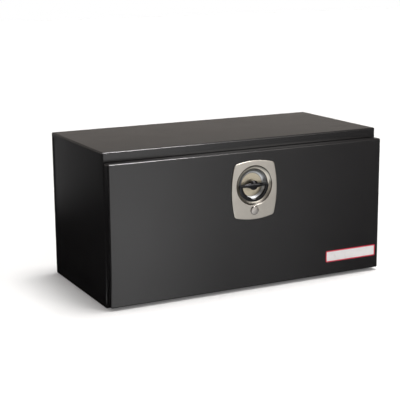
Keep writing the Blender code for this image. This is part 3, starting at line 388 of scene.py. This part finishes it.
def black_rubber():
    """Dull rubber with a fine grain."""
    material, tree, shader, place = principled("black_rubber")
    grain = noise(tree, place, scale=700.0)
    cloud = spread(tree, noise(tree, place, scale=25.0), 0.0, 1.0)
    colour = blended(tree, cloud, (0.014, 0.014, 0.014), (0.024, 0.023, 0.022))
    tree.links.new(colour, shader.inputs["Base Color"])
    tree.links.new(spread(tree, grain, 0.62, 0.80), shader.inputs["Roughness"])
    bumped(tree, shader, grain, strength=0.15, distance=0.0003)
    return material


def gloss_enamel(name, colour):
    """Printed or enamelled surface of the badge."""
    material, tree, shader, place = principled(name)
    cloud = noise(tree, place, scale=40.0)
    duller = [channel * 0.95 for channel in colour]
    tree.links.new(blended(tree, spread(tree, cloud, 0.0, 1.0), duller, colour), shader.inputs["Base Color"])
    tree.links.new(spread(tree, cloud, 0.25, 0.36), shader.inputs["Roughness"])
    return material


LOOKS = {
    "black_paint": powder_coat(),
    "black_rubber": black_rubber(),
    "zinc_steel": zinc_plate(),
    "stainless_steel": satin_steel("plain_stainless", (0.49, 0.485, 0.475), 0, 0.32, 0.03),
    "satin_stainless": satin_steel("satin_stainless", (0.46, 0.43, 0.385), 2, 0.34),
    # The handle's and ring's bright chrome has its base colour painted near black, standing in for dark reflections
    "bright_chrome": polished("chrome_painted_dark", (0.035, 0.035, 0.037), 0.10),
    "lock_brass": polished("lock_brass", (0.66, 0.52, 0.28), 0.22),
    "badge_white": gloss_enamel("badge_white", (0.84, 0.83, 0.83)),
    "badge_red": gloss_enamel("badge_red", (0.70, 0.03, 0.07)),
}


def dress_nodes():
    """Give every solid the look of its material slot."""
    for part in frame["record"]["subparts"]:
        slots = NODES[part["node"]].data.materials
        slots.clear()
        slots.append(LOOKS[part["material_slot"]])


def new_piece(name, bm, matrix=None):
    """An object made of a bmesh, which is used up."""
    mesh = bpy.data.meshes.new(name)
    bm.to_mesh(mesh)
    bm.free()
    obj = bpy.data.objects.new(name, mesh)
    bpy.context.scene.collection.objects.link(obj)
    obj.matrix_world = matrix or Matrix.Identity(4)
    return obj


def add_box(bm, low, high):
    """Put a box between two corners into a bmesh."""
    low = Vector(low)
    high = Vector(high)
    size = high - low
    matrix = Matrix.Translation((low + high) / 2) @ Matrix.Diagonal((*size, 1))
    bmesh.ops.create_cube(bm, size=1, matrix=matrix)
    bm.normal_update()


def box_piece(name, low, high):
    """A box between two corners, to cut with."""
    bm = bmesh.new()
    add_box(bm, low, high)
    return new_piece(name, bm)


def rod_piece(name, start, end, radius):
    """A round rod between two points, to cut holes with."""
    bm = bmesh.new()
    start = Vector(start)
    along = Vector(end) - start
    turn = along.to_track_quat("Z", "Y").to_matrix().to_4x4()
    matrix = Matrix.Translation(start + along / 2) @ turn
    bmesh.ops.create_cone(bm, cap_ends=True, segments=ROUND_SIDES, radius1=radius, radius2=radius,
                          depth=along.length, matrix=matrix)
    return new_piece(name, bm)


def combine(obj, others, operation):
    """Apply Booleans one after another and drop the shapes they used."""
    for other in others:
        change = obj.modifiers.new(other.name, "BOOLEAN")
        change.operation = operation
        change.object = other
    settle(obj)
    for other in others:
        bpy.data.objects.remove(other, do_unlink=True)


def settle(obj):
    """Apply an object's modifiers to its mesh."""
    bpy.context.view_layer.update()
    seen = obj.evaluated_get(bpy.context.evaluated_depsgraph_get())
    mesh = bpy.data.meshes.new_from_object(seen)
    obj.modifiers.clear()
    obj.data = mesh


def bevelled(obj, width, steps):
    """Round off an object's sharp edges."""
    bevel = obj.modifiers.new("bevel", "BEVEL")
    bevel.width = width
    bevel.segments = steps
    bevel.limit_method = "ANGLE"
    bevel.angle_limit = SHEET_ANGLE
    settle(obj)


def smooth(obj, angle=SHEET_ANGLE):
    """Smooth round faces and keep the large flat ones flat."""
    obj.data.shade_smooth()
    obj.data.set_sharp_from_angle(angle=angle)
    weigh = obj.modifiers.new("flat_faces", "WEIGHTED_NORMAL")
    weigh.keep_sharp = True
    weigh.weight = FLAT_WEIGHT
    settle(obj)


def dress(obj, slot, body, node):
    """Give a piece its material, its body and the solid that it stands for."""
    obj.data.materials.clear()
    obj.data.materials.append(LOOKS[slot])
    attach(obj, body)
    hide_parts(node)


def folded(name, low, high, open_sides, bend):
    """A sheet folded over the faces of a box, without the sides that are open."""
    bm = bmesh.new()
    add_box(bm, low, high)
    gone = [face for face in bm.faces if any(face.normal.dot(Vector(side)) > SAME_WAY for side in open_sides)]
    bmesh.ops.delete(bm, geom=gone, context="FACES")
    obj = new_piece(name, bm)
    bevelled(obj, bend, BEND_STEPS)
    solidify = obj.modifiers.new("sheet", "SOLIDIFY")
    solidify.thickness = SHEET
    solidify.offset = -1
    solidify.use_even_offset = True
    settle(obj)
    return obj


def make_top():
    """The top with its front header, and a lip down each end and the back."""
    low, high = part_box("top_panel")
    top = folded("top_shell", low, high, [(0, 0, -1)], BEND)
    spare = box_piece("spare", (low.x - OVERRUN, low.y + BEND, low.z - OVERRUN),
                      (high.x + OVERRUN, high.y + OVERRUN, high.z - LAP))
    combine(top, [spare], "DIFFERENCE")
    smooth(top)
    dress(top, "black_paint", "body", "top_panel")


def make_floor_shell():
    """The floor with its front flange, a lip up each end and the back, and two drain holes."""
    low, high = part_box("floor_panel")
    shell = folded("floor_shell", low, high, [(0, 0, 1)], BEND)
    spare = box_piece("spare", (low.x - OVERRUN, low.y + BEND, low.z + LAP),
                      (high.x + OVERRUN, high.y + OVERRUN, high.z + OVERRUN))
    holes = []
    for side in ("left", "right"):
        plug_low, plug_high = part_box(side + "_drain_plug")
        middle = (plug_low + plug_high) / 2
        reach = Vector((0, 0, OVERRUN))
        holes.append(rod_piece("hole", middle - reach, middle + reach, DRAIN_HOLE))
    combine(shell, [spare] + holes, "DIFFERENCE")
    smooth(shell)
    dress(shell, "black_paint", "body", "floor_panel")


def make_back():
    """The back, with a flange forward at each end."""
    low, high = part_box("back_panel")
    back = folded("back_shell", low, high, [(0, -1, 0), (0, 0, 1), (0, 0, -1)], BEND)
    smooth(back)
    dress(back, "black_paint", "body", "back_panel")


def make_end(side, name):
    """One end with its front jamb; side is -1 for the left and 1 for the right."""
    low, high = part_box(name + "_end_panel")
    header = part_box("top_panel")[0].z
    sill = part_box("floor_panel")[1].z
    end = folded(name + "_end_shell", low, high, [(-side, 0, 0), (0, 1, 0), (0, 0, 1), (0, 0, -1)], BEND)
    notches = []
    for bottom, top in ((header - GAP, high.z + OVERRUN), (low.z - OVERRUN, sill + GAP)):
        notches.append(box_piece("notch", (low.x - OVERRUN, low.y - OVERRUN, bottom),
                                 (high.x + OVERRUN, low.y + BEND, top)))
    combine(end, notches, "DIFFERENCE")
    smooth(end)
    dress(end, "black_paint", "body", name + "_end_panel")


def make_door_skin():
    """The door's pan, with the holes for the latch's dish and the key lock."""
    low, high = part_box("door_skin")
    skin = folded("door_shell", low, high, [(0, 1, 0)], DOOR_BEND)
    reach = Vector((0, (high.y - low.y) / 2, 0))
    dish = Vector((LATCH.x, low.y, LATCH.z))
    lock = Vector((LATCH.x, low.y, LOCK.z))
    cutters = [rod_piece("dish_hole", dish - reach, dish + reach, DISH_HOLE),
               rod_piece("lock_hole", lock - reach, lock + reach, LOCK_HOLE)]
    combine(skin, cutters, "DIFFERENCE")
    smooth(skin)
    dress(skin, "black_paint", "door", "door_skin")


def arc(centre, radius, start, end, steps):
    """Points along a circle in a plane, both ends with them."""
    span = end - start
    return [(centre[0] + radius * math.cos(start + span * step / steps),
             centre[1] + radius * math.sin(start + span * step / steps)) for step in range(steps + 1)]


def bowed_outline(low, high, inset):
    """Four bowed sides joined by round corners, drawn in by inset; the count of points stays the same."""
    corner = PLATE_CORNER - inset
    across = PLATE_SIDE_BOW + PLATE_CORNER
    up = PLATE_END_BOW + PLATE_CORNER
    corners = [Vector(pair) for pair in ((low[0] + across, low[1] + up), (high[0] - across, low[1] + up),
                                         (high[0] - across, high[1] - up), (low[0] + across, high[1] - up))]
    bows = (PLATE_END_BOW, PLATE_SIDE_BOW, PLATE_END_BOW, PLATE_SIDE_BOW)
    shapes = []
    for number, bow in enumerate(bows):
        reach = (corners[(number + 1) % 4] - corners[number]).length / 2
        radius = (reach ** 2 + bow ** 2) / (2 * bow)
        shapes.append((radius, math.asin(reach / radius)))
    points = []
    for number, bow in enumerate(bows):
        radius, swing = shapes[number]
        end = corners[(number + 1) % 4]
        facing = (number - 1) * math.pi / 2
        outward = Vector((math.cos(facing), math.sin(facing)))
        centre = (corners[number] + end) / 2 - outward * (radius - bow)
        points += arc(centre, radius + corner, facing - swing, facing + swing, SIDE_STEPS)
        next_start = facing + math.pi / 2 - shapes[(number + 1) % 4][1]
        points += arc(end, corner, facing + swing, next_start, CORNER_STEPS)[1:-1]
    return [Vector(point) for point in points]


def bridged(bm, rows, closed=False):
    """Faces between rings of points; closed joins the last ring to the first."""
    rings = [[bm.verts.new(point) for point in row] for row in rows]
    pairs = list(zip(rings, rings[1:])) + ([(rings[-1], rings[0])] if closed else [])
    for first, second in pairs:
        count = len(first)
        for number in range(count):
            following = (number + 1) % count
            bm.faces.new((first[number], first[following], second[following], second[number]))
    bmesh.ops.recalc_face_normals(bm, faces=bm.faces)
    return rings


def swept(start, end, count):
    """Points between two (radius, depth) pairs that turn flatter towards the end."""
    points = []
    for step in range(count + 1):
        share = step / count
        points.append((start[0] + (end[0] - start[0]) * share,
                       start[1] + (end[1] - start[1]) * math.sin(share * math.pi / 2)))
    return points


def dome(radius, rise, steps):
    """A dome's (radius, distance) points from beside its crown, at distance 0, to its rim."""
    angles = [math.pi / 2 * step / steps for step in range(1, steps + 1)]
    return [(radius * math.sin(angle), rise * (1 - math.cos(angle))) for angle in angles]


def rounded_side(turn, across, deep, squareness):
    """The point at an angle of an oval, which a squareness under 1 fills out towards its box."""
    cos = math.cos(turn)
    sin = math.sin(turn)
    return (across * math.copysign(abs(cos) ** squareness, cos), deep * math.copysign(abs(sin) ** squareness, sin))


def dish_profile():
    """The pressed dish from its rim to the spindle's hole, as (radius, depth)."""
    rim = [(DISH_RADIUS + 1.6 * MM, 0), (DISH_RADIUS + 0.9 * MM, 0.08 * MM), (DISH_RADIUS + 0.3 * MM, 0.35 * MM),
           (DISH_RADIUS, 0.9 * MM)]
    bowl = swept((DISH_RADIUS - 0.4 * MM, 1.6 * MM), (LEDGE_RADIUS + 1.2 * MM, LEDGE_DEPTH - 0.4 * MM), BOWL_STEPS)
    step = [(LEDGE_RADIUS + 0.6 * MM, LEDGE_DEPTH - 0.3 * MM), (LEDGE_RADIUS + 0.1 * MM, LEDGE_DEPTH),
            (LEDGE_RADIUS - 0.3 * MM, LEDGE_DEPTH + 0.5 * MM)]
    wall = swept((LEDGE_RADIUS - 0.5 * MM, LEDGE_DEPTH + 1.2 * MM),
                 (FLOOR_RADIUS + 1.5 * MM, DISH_DEPTH - 0.5 * MM), BOWL_STEPS)
    floor = [(FLOOR_RADIUS + 0.3 * MM, DISH_DEPTH - 0.15 * MM), (FLOOR_RADIUS - 1.0 * MM, DISH_DEPTH),
             (SPINDLE_HOLE, DISH_DEPTH)]
    return rim + bowl + step + wall + floor


def make_latch_plate():
    """The bowed plate and its dish as one pressing with a rolled edge."""
    low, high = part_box("latch_plate")
    frame_low = (low.x - LATCH.x, low.z - LATCH.z)
    frame_high = (high.x - LATCH.x, high.z - LATCH.z)
    face = low.y
    edge = [(0, 1.5 * MM), (0, 1.1 * MM), (0.5 * MM, 0.45 * MM), (1.3 * MM, 0.1 * MM), (2.2 * MM, 0)]

    def outline_row(inset, depth):
        outline = bowed_outline(frame_low, frame_high, inset)
        return [Vector((LATCH.x + point.x, face + depth, LATCH.z + point.y)) for point in outline]

    angles = [math.atan2(point.y, point.x) for point in bowed_outline(frame_low, frame_high, 0)]

    def circle_row(radius, depth):
        return [Vector((LATCH.x + radius * math.cos(angle), face + depth, LATCH.z + radius * math.sin(angle)))
                for angle in angles]

    profile = dish_profile()
    rows = [outline_row(inset, depth) for inset, depth in edge]
    rows += [circle_row(radius, depth) for radius, depth in profile]
    rows += [circle_row(radius + (DISH_SHEET if radius > SPINDLE_HOLE else 0), depth + DISH_SHEET)
             for radius, depth in reversed(profile) if depth > PLATE_THICK - DISH_SHEET]
    bm = bmesh.new()
    bridged(bm, rows, closed=True)
    plate = new_piece("latch_escutcheon", bm)
    lock = Vector((LATCH.x, face, LOCK.z))
    reach = Vector((0, OVERRUN, 0))
    combine(plate, [rod_piece("lock_hole", lock - reach, lock + reach, LOCK_HOLE)], "DIFFERENCE")
    smooth(plate, PRESSED_ANGLE)
    dress(plate, "satin_stainless", "door", "latch_plate")
    plate.data.materials[0] = pressed_steel("pressed_stainless")


def lathe(name, profile, origin, direction, sides=ROUND_SIDES):
    """Revolve (radius, distance) points round a line; rings at radius zero close to a point."""
    bm = bmesh.new()
    turn = Vector(direction).to_track_quat("Z", "Y").to_matrix().to_4x4()
    matrix = Matrix.Translation(origin) @ turn
    angles = [2 * math.pi * side / sides for side in range(sides)]
    rows = [[matrix @ Vector((radius * math.cos(angle), radius * math.sin(angle), distance)) for angle in angles]
            for radius, distance in profile]
    bridged(bm, rows, closed=profile[0][0] > 0)
    bmesh.ops.remove_doubles(bm, verts=bm.verts, dist=MERGE)
    bmesh.ops.recalc_face_normals(bm, faces=bm.faces)
    return new_piece(name, bm)


def make_handle():
    """Domed hub and shaft with a crossbar that swells towards the hub."""
    low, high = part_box("handle_spindle")
    length = high.y - low.y
    profile = [(0, 0)] + dome(HUB_RADIUS, HUB_RISE, HUB_STEPS)
    profile += [(HUB_RADIUS, HUB_DEPTH - 1 * MM), (HUB_RADIUS - 1 * MM, HUB_DEPTH), (SHAFT_RADIUS, HUB_DEPTH),
                (SHAFT_RADIUS, length - 0.6 * MM), (SHAFT_RADIUS - 0.6 * MM, length), (0, length)]
    handle = lathe("handle_hub", profile, (LATCH.x, low.y, LATCH.z), (0, 1, 0))
    reach = (high.x - low.x) / 2 - BAR_GAP
    half = [(BAR_RADIUS + BAR_SWELL, HUB_RADIUS), (BAR_RADIUS, reach * BAR_TAPER), (BAR_RADIUS, reach - BAR_EDGE),
            (BAR_RADIUS - BAR_EDGE, reach), (0, reach)]
    other_half = [(radius, -distance) for radius, distance in reversed(half)]
    crossbar = lathe("bar", other_half + half, RING_AXIS, (1, 0, 0), BAR_SIDES)
    taller = Matrix.Diagonal((1, 1, BAR_HEIGHT, 1))
    crossbar.data.transform(Matrix.Translation(RING_AXIS) @ taller @ Matrix.Translation(-RING_AXIS))
    combine(handle, [crossbar], "UNION")
    smooth(handle, HANDLE_ANGLE)
    dress(handle, "bright_chrome", "handle", "handle_spindle")


def make_ring():
    """The folding ring: half a flattened ring with a lug at each end and a finger notch below."""
    low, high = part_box("folding_ring")
    band = RING_HALF_BAND
    middle = (high.x - low.x) / 2 - band
    bm = bmesh.new()
    section = [rounded_side(2 * math.pi * side / RING_SIDES, band, RING_HALF_THICK, RING_SQUARENESS)
               for side in range(RING_SIDES)]
    rows = []
    for step in range(RING_STEPS + 1):
        angle = math.pi + math.pi * step / RING_STEPS
        out = Vector((math.cos(angle), 0, math.sin(angle)))
        rows.append([RING_AXIS + out * (middle + across) + Vector((0, deep, 0)) for across, deep in section])
    rings = bridged(bm, rows)
    for ring in (rings[0], rings[-1]):
        bm.faces.new(ring)
    bmesh.ops.recalc_face_normals(bm, faces=bm.faces)
    ring = new_piece("pull_ring", bm)
    lugs = []
    bar_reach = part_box("handle_spindle")[1].x - LATCH.x + 0.5 * MM
    for side in (-1, 1):
        ends = sorted((side * bar_reach, side * LUG_END))
        lug = [(0, ends[0]), (BAR_RADIUS - LUG_EDGE, ends[0]), (BAR_RADIUS, ends[0] + LUG_EDGE),
               (BAR_RADIUS, ends[1] - LUG_EDGE), (BAR_RADIUS - LUG_EDGE, ends[1]), (0, ends[1])]
        lugs.append(lathe("lug", lug, RING_AXIS, (1, 0, 0), BAR_SIDES))
    combine(ring, lugs, "UNION")
    notch = RING_AXIS - Vector((0, 0, middle - band - NOTCH_RISE))
    reach = Vector((0, band, 0))
    combine(ring, [rod_piece("notch", notch - reach, notch + reach, NOTCH_RADIUS)], "DIFFERENCE")
    smooth(ring, HANDLE_ANGLE)
    dress(ring, "bright_chrome", "ring", "folding_ring")


def make_lock_front():
    """The key lock's bezel and the domed cover that hangs over its keyway."""
    low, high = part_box("lock_case")
    bezel_radius = (high.x - low.x) / 2
    bore = PLUG_RADIUS + 0.15 * MM
    length = high.y - low.y
    case = [(bore, 0.2 * MM), (bore + 0.3 * MM, 0), (bezel_radius - 0.6 * MM, 0),
            (bezel_radius - 0.15 * MM, 0.2 * MM), (bezel_radius, 0.6 * MM), (bezel_radius, BEZEL_SEAT),
            (LOCK_HOLE - GAP, BEZEL_SEAT), (LOCK_HOLE - GAP, length), (bore, length)]
    body = lathe("lock_body", case, (LATCH.x, low.y, LOCK.z), (0, 1, 0))
    smooth(body, PRESSED_ANGLE)
    dress(body, "satin_stainless", "door", "lock_case")
    # The bezel is painted dark so that it stands in for the shade in the gap round the domed cover
    body.data.materials[0] = polished("bezel_painted_dark", (0.16, 0.155, 0.15), 0.24)
    low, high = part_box("lock_cover")
    radius = (high.x - low.x) / 2
    rise = high.y - low.y
    profile = [(0, 0)] + dome(radius, rise - 0.9 * MM, DOME_STEPS)
    profile += [(radius, rise - 0.2 * MM), (radius - 0.2 * MM, rise), (0, rise)]
    cover = lathe("key_dome", profile, (LATCH.x, low.y, LOCK.z), (0, 1, 0))
    smooth(cover, PRESSED_ANGLE)
    dress(cover, "satin_stainless", "key_cover", "lock_cover")
    cover.data.materials[0] = polished("buffed_cover", (0.62, 0.59, 0.56), 0.26)


def make_seal():
    """A bulb weatherstrip with round corners to its loop and to its section."""
    low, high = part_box("door_seal")
    bm = bmesh.new()
    half = SEAL_WIDTH / 2
    middle_y = (low.y + high.y) / 2
    section = [rounded_side(2 * math.pi * side / SEAL_SIDES, half, (high.y - low.y) / 2, SEAL_SQUARENESS)
               for side in range(SEAL_SIDES)]
    inset = half + SEAL_TURN
    corners = [(low.x + inset, low.z + inset), (high.x - inset, low.z + inset),
               (high.x - inset, high.z - inset), (low.x + inset, high.z - inset)]
    rows = []
    for number, (x, z) in enumerate(corners):
        for step in range(TURN_STEPS + 1):
            angle = math.pi + number * math.pi / 2 + math.pi / 2 * step / TURN_STEPS
            out = Vector((math.cos(angle), 0, math.sin(angle)))
            base = Vector((x, middle_y, z)) + out * SEAL_TURN
            rows.append([base + out * across + Vector((0, deep, 0)) for across, deep in section])
    bridged(bm, rows, closed=True)
    seal = new_piece("bulb_seal", bm)
    smooth(seal, SEAL_ANGLE)
    dress(seal, "black_rubber", "body", "door_seal")


def make_badge():
    """The plain badge: a red rim with round edges and a white field inside it."""
    for node, name, slot, corner in BADGE_PIECES:
        low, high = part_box(node)
        bm = bmesh.new()
        add_box(bm, low, high)
        chosen = [edge for edge in bm.edges if abs(edge.verts[0].co.y - edge.verts[1].co.y) > GAP]
        bmesh.ops.bevel(bm, geom=chosen, offset=corner, segments=TURN_STEPS, profile=0.5, affect="EDGES")
        piece = new_piece(name, bm)
        if node == "badge_rim":
            inner_low, inner_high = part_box("badge_plate")
            play = Vector((GAP, OVERRUN, GAP))
            combine(piece, [box_piece("hole", inner_low - play, inner_high + play)], "DIFFERENCE")
        bevelled(piece, BADGE_EDGE, BADGE_EDGE_STEPS)
        smooth(piece)
        dress(piece, slot, "door", node)


def make_camera():
    """The camera that took the photograph, turned, dipped and rolled."""
    cos = math.cos
    sin = math.sin
    ahead = Vector((-sin(CAMERA_TURN) * cos(CAMERA_DIP), cos(CAMERA_TURN) * cos(CAMERA_DIP), -sin(CAMERA_DIP)))
    right = Vector((cos(CAMERA_TURN), sin(CAMERA_TURN), 0))
    up = right.cross(ahead)
    rolled_right = right * cos(CAMERA_ROLL) + up * sin(CAMERA_ROLL)
    rolled_up = up * cos(CAMERA_ROLL) - right * sin(CAMERA_ROLL)
    matrix = Matrix((rolled_right, rolled_up, -ahead)).transposed().to_4x4()
    matrix.translation = CAMERA_PLACE
    camera = bpy.data.cameras.new("camera")
    camera.sensor_width = SENSOR
    camera.lens = CAMERA_LENS
    camera.clip_end = CAMERA_REACH
    obj = bpy.data.objects.new("camera", camera)
    bpy.context.scene.collection.objects.link(obj)
    obj.matrix_world = matrix
    bpy.context.scene.camera = obj


def add_lamp(light, name, colour, power, toward):
    """Put a light into the scene, shining one way."""
    light.energy = power
    light.color = colour
    obj = bpy.data.objects.new(name, light)
    bpy.context.scene.collection.objects.link(obj)
    obj.rotation_mode = "QUATERNION"
    obj.rotation_quaternion = Vector(toward).to_track_quat("-Z", "Y")
    return obj


def add_lamps():
    """A broad sun from above, and the lamps of the table, which the camera doesn't see."""
    sun = bpy.data.lights.new("room", "SUN")
    sun.angle = math.radians(SUN_ANGLE)
    add_lamp(sun, "room", SUN_COLOUR, SUN_POWER, SUN_WAY)
    for name, place, target, width, power, opening, colour, on_matt in LAMPS:
        light = bpy.data.lights.new(name, "AREA")
        light.shape = "RECTANGLE"
        light.size = light.size_y = width
        light.spread = math.radians(opening)
        lamp = add_lamp(light, name, colour, power, Vector(target) - Vector(place))
        lamp.location = place
        lamp.visible_camera = False
        lamp.visible_diffuse = on_matt


def either(tree, first, second):
    """The larger of two values."""
    return computed(tree, "MAXIMUM", first, second)


def make_world():
    """A world that is white for the camera, and white at the horizon but dim above it in gloss and glass."""
    scene = bpy.context.scene
    scene.view_settings.view_transform = "Standard"
    world = bpy.data.worlds.new("studio")
    world.use_nodes = True
    scene.world = world
    tree = world.node_tree
    background = tree.nodes["Background"]
    toward = tree.nodes.new("ShaderNodeSeparateXYZ")
    tree.links.new(tree.nodes.new("ShaderNodeTexCoord").outputs["Generated"], toward.inputs["Vector"])
    backdrop = spread(tree, toward.outputs["Z"], *BACKDROP_FADE)
    path = tree.nodes.new("ShaderNodeLightPath")
    shiny = either(tree, path.outputs["Is Glossy Ray"], path.outputs["Is Transmission Ray"])
    light = tree.nodes.new("ShaderNodeMix")
    light.inputs["A"].default_value = ROOM_FILL
    tree.links.new(backdrop, light.inputs["B"])
    tree.links.new(shiny, light.inputs["Factor"])
    strength = either(tree, light.outputs["Result"], path.outputs["Is Camera Ray"])
    tree.links.new(strength, background.inputs["Strength"])
    tint = tree.nodes.new("ShaderNodeMix")
    tint.data_type = "RGBA"
    tree.links.new(blended(tree, shiny, FILL_TINT, GLOSS_TINT), tint.inputs["A"])
    tint.inputs["B"].default_value = WHITE
    tree.links.new(path.outputs["Is Camera Ray"], tint.inputs["Factor"])
    tree.links.new(tint.outputs["Result"], background.inputs["Color"])


def fan_share(tree, place, centre):
    """How far sideways of a centre a point of the floor lies, over how far forwards of it."""
    sideways = computed(tree, "SUBTRACT", place.outputs["X"], centre[0])
    forwards = computed(tree, "SUBTRACT", centre[1], place.outputs["Y"])
    return computed(tree, "DIVIDE", sideways, forwards)


def mirrored_floor(tree):
    """The strength of the floor's glow in gloss: the fan in front of the door's face, the band behind it."""
    place = tree.nodes.new("ShaderNodeSeparateXYZ")
    tree.links.new(tree.nodes.new("ShaderNodeTexCoord").outputs["Object"], place.inputs["Vector"])
    along = place.outputs["Y"]
    side = (FAN_SIDE,) * 3
    stops = [(share, (level,) * 3) for share, level in FAN]
    fan = stepped(tree, fan_share(tree, place, FAN_CENTRE), stops, side, side)
    fan = computed(tree, "MULTIPLY", fan, spread(tree, along, *FAN_FADE))
    band = spread(tree, fan_share(tree, place, BAND_CENTRE), *BAND)
    band = computed(tree, "MULTIPLY", band, spread(tree, along, *BAND_FADE))
    level = tree.nodes.new("ShaderNodeMix")
    tree.links.new(computed(tree, "LESS_THAN", along, CAD_BOX[0].y), level.inputs["Factor"])
    tree.links.new(band, level.inputs["A"])
    tree.links.new(fan, level.inputs["B"])
    return level.outputs["Result"]


def make_floor():
    """A plain floor that keeps the box's shadow, and glows by FAN and BAND in gloss alone."""
    bm = bmesh.new()
    bmesh.ops.create_grid(bm, x_segments=1, y_segments=1, size=FLOOR_HALF)
    floor = new_piece("floor", bm, Matrix.Translation((0, 0, -FLOOR_DROP)))
    material = bpy.data.materials.new("white_floor")
    material.use_nodes = True
    tree = material.node_tree
    shader = tree.nodes["Principled BSDF"]
    shader.inputs["Base Color"].default_value = (FLOOR_GREY, FLOOR_GREY, FLOOR_GREY, 1)
    shader.inputs["Roughness"].default_value = FLOOR_ROUGHNESS
    shader.inputs["Specular IOR Level"].default_value = 0.0
    shader.inputs["Emission Color"].default_value = WHITE
    path = tree.nodes.new("ShaderNodeLightPath")
    seen = either(tree, path.outputs["Is Transmission Ray"], path.outputs["Is Camera Ray"])
    tree.links.new(spread(tree, seen, 0.0, FLOOR_GLOW, 0.0, 1.0), shader.inputs["Emission Strength"])
    mirrored = tree.nodes.new("ShaderNodeEmission")
    tree.links.new(mirrored_floor(tree), mirrored.inputs["Strength"])
    choice = tree.nodes.new("ShaderNodeMixShader")
    tree.links.new(path.outputs["Is Glossy Ray"], choice.inputs["Fac"])
    tree.links.new(shader.outputs["BSDF"], choice.inputs[1])
    tree.links.new(mirrored.outputs["Emission"], choice.inputs[2])
    tree.links.new(choice.outputs["Shader"], tree.nodes["Material Output"].inputs["Surface"])
    floor.data.materials.append(material)


make_camera()
add_lamps()
make_world()
make_floor()
dress_nodes()
make_top()
make_floor_shell()
make_back()
for side, name in ((-1, "left"), (1, "right")):
    make_end(side, name)
make_door_skin()
make_latch_plate()
make_handle()
make_ring()
make_lock_front()
make_seal()
make_badge()
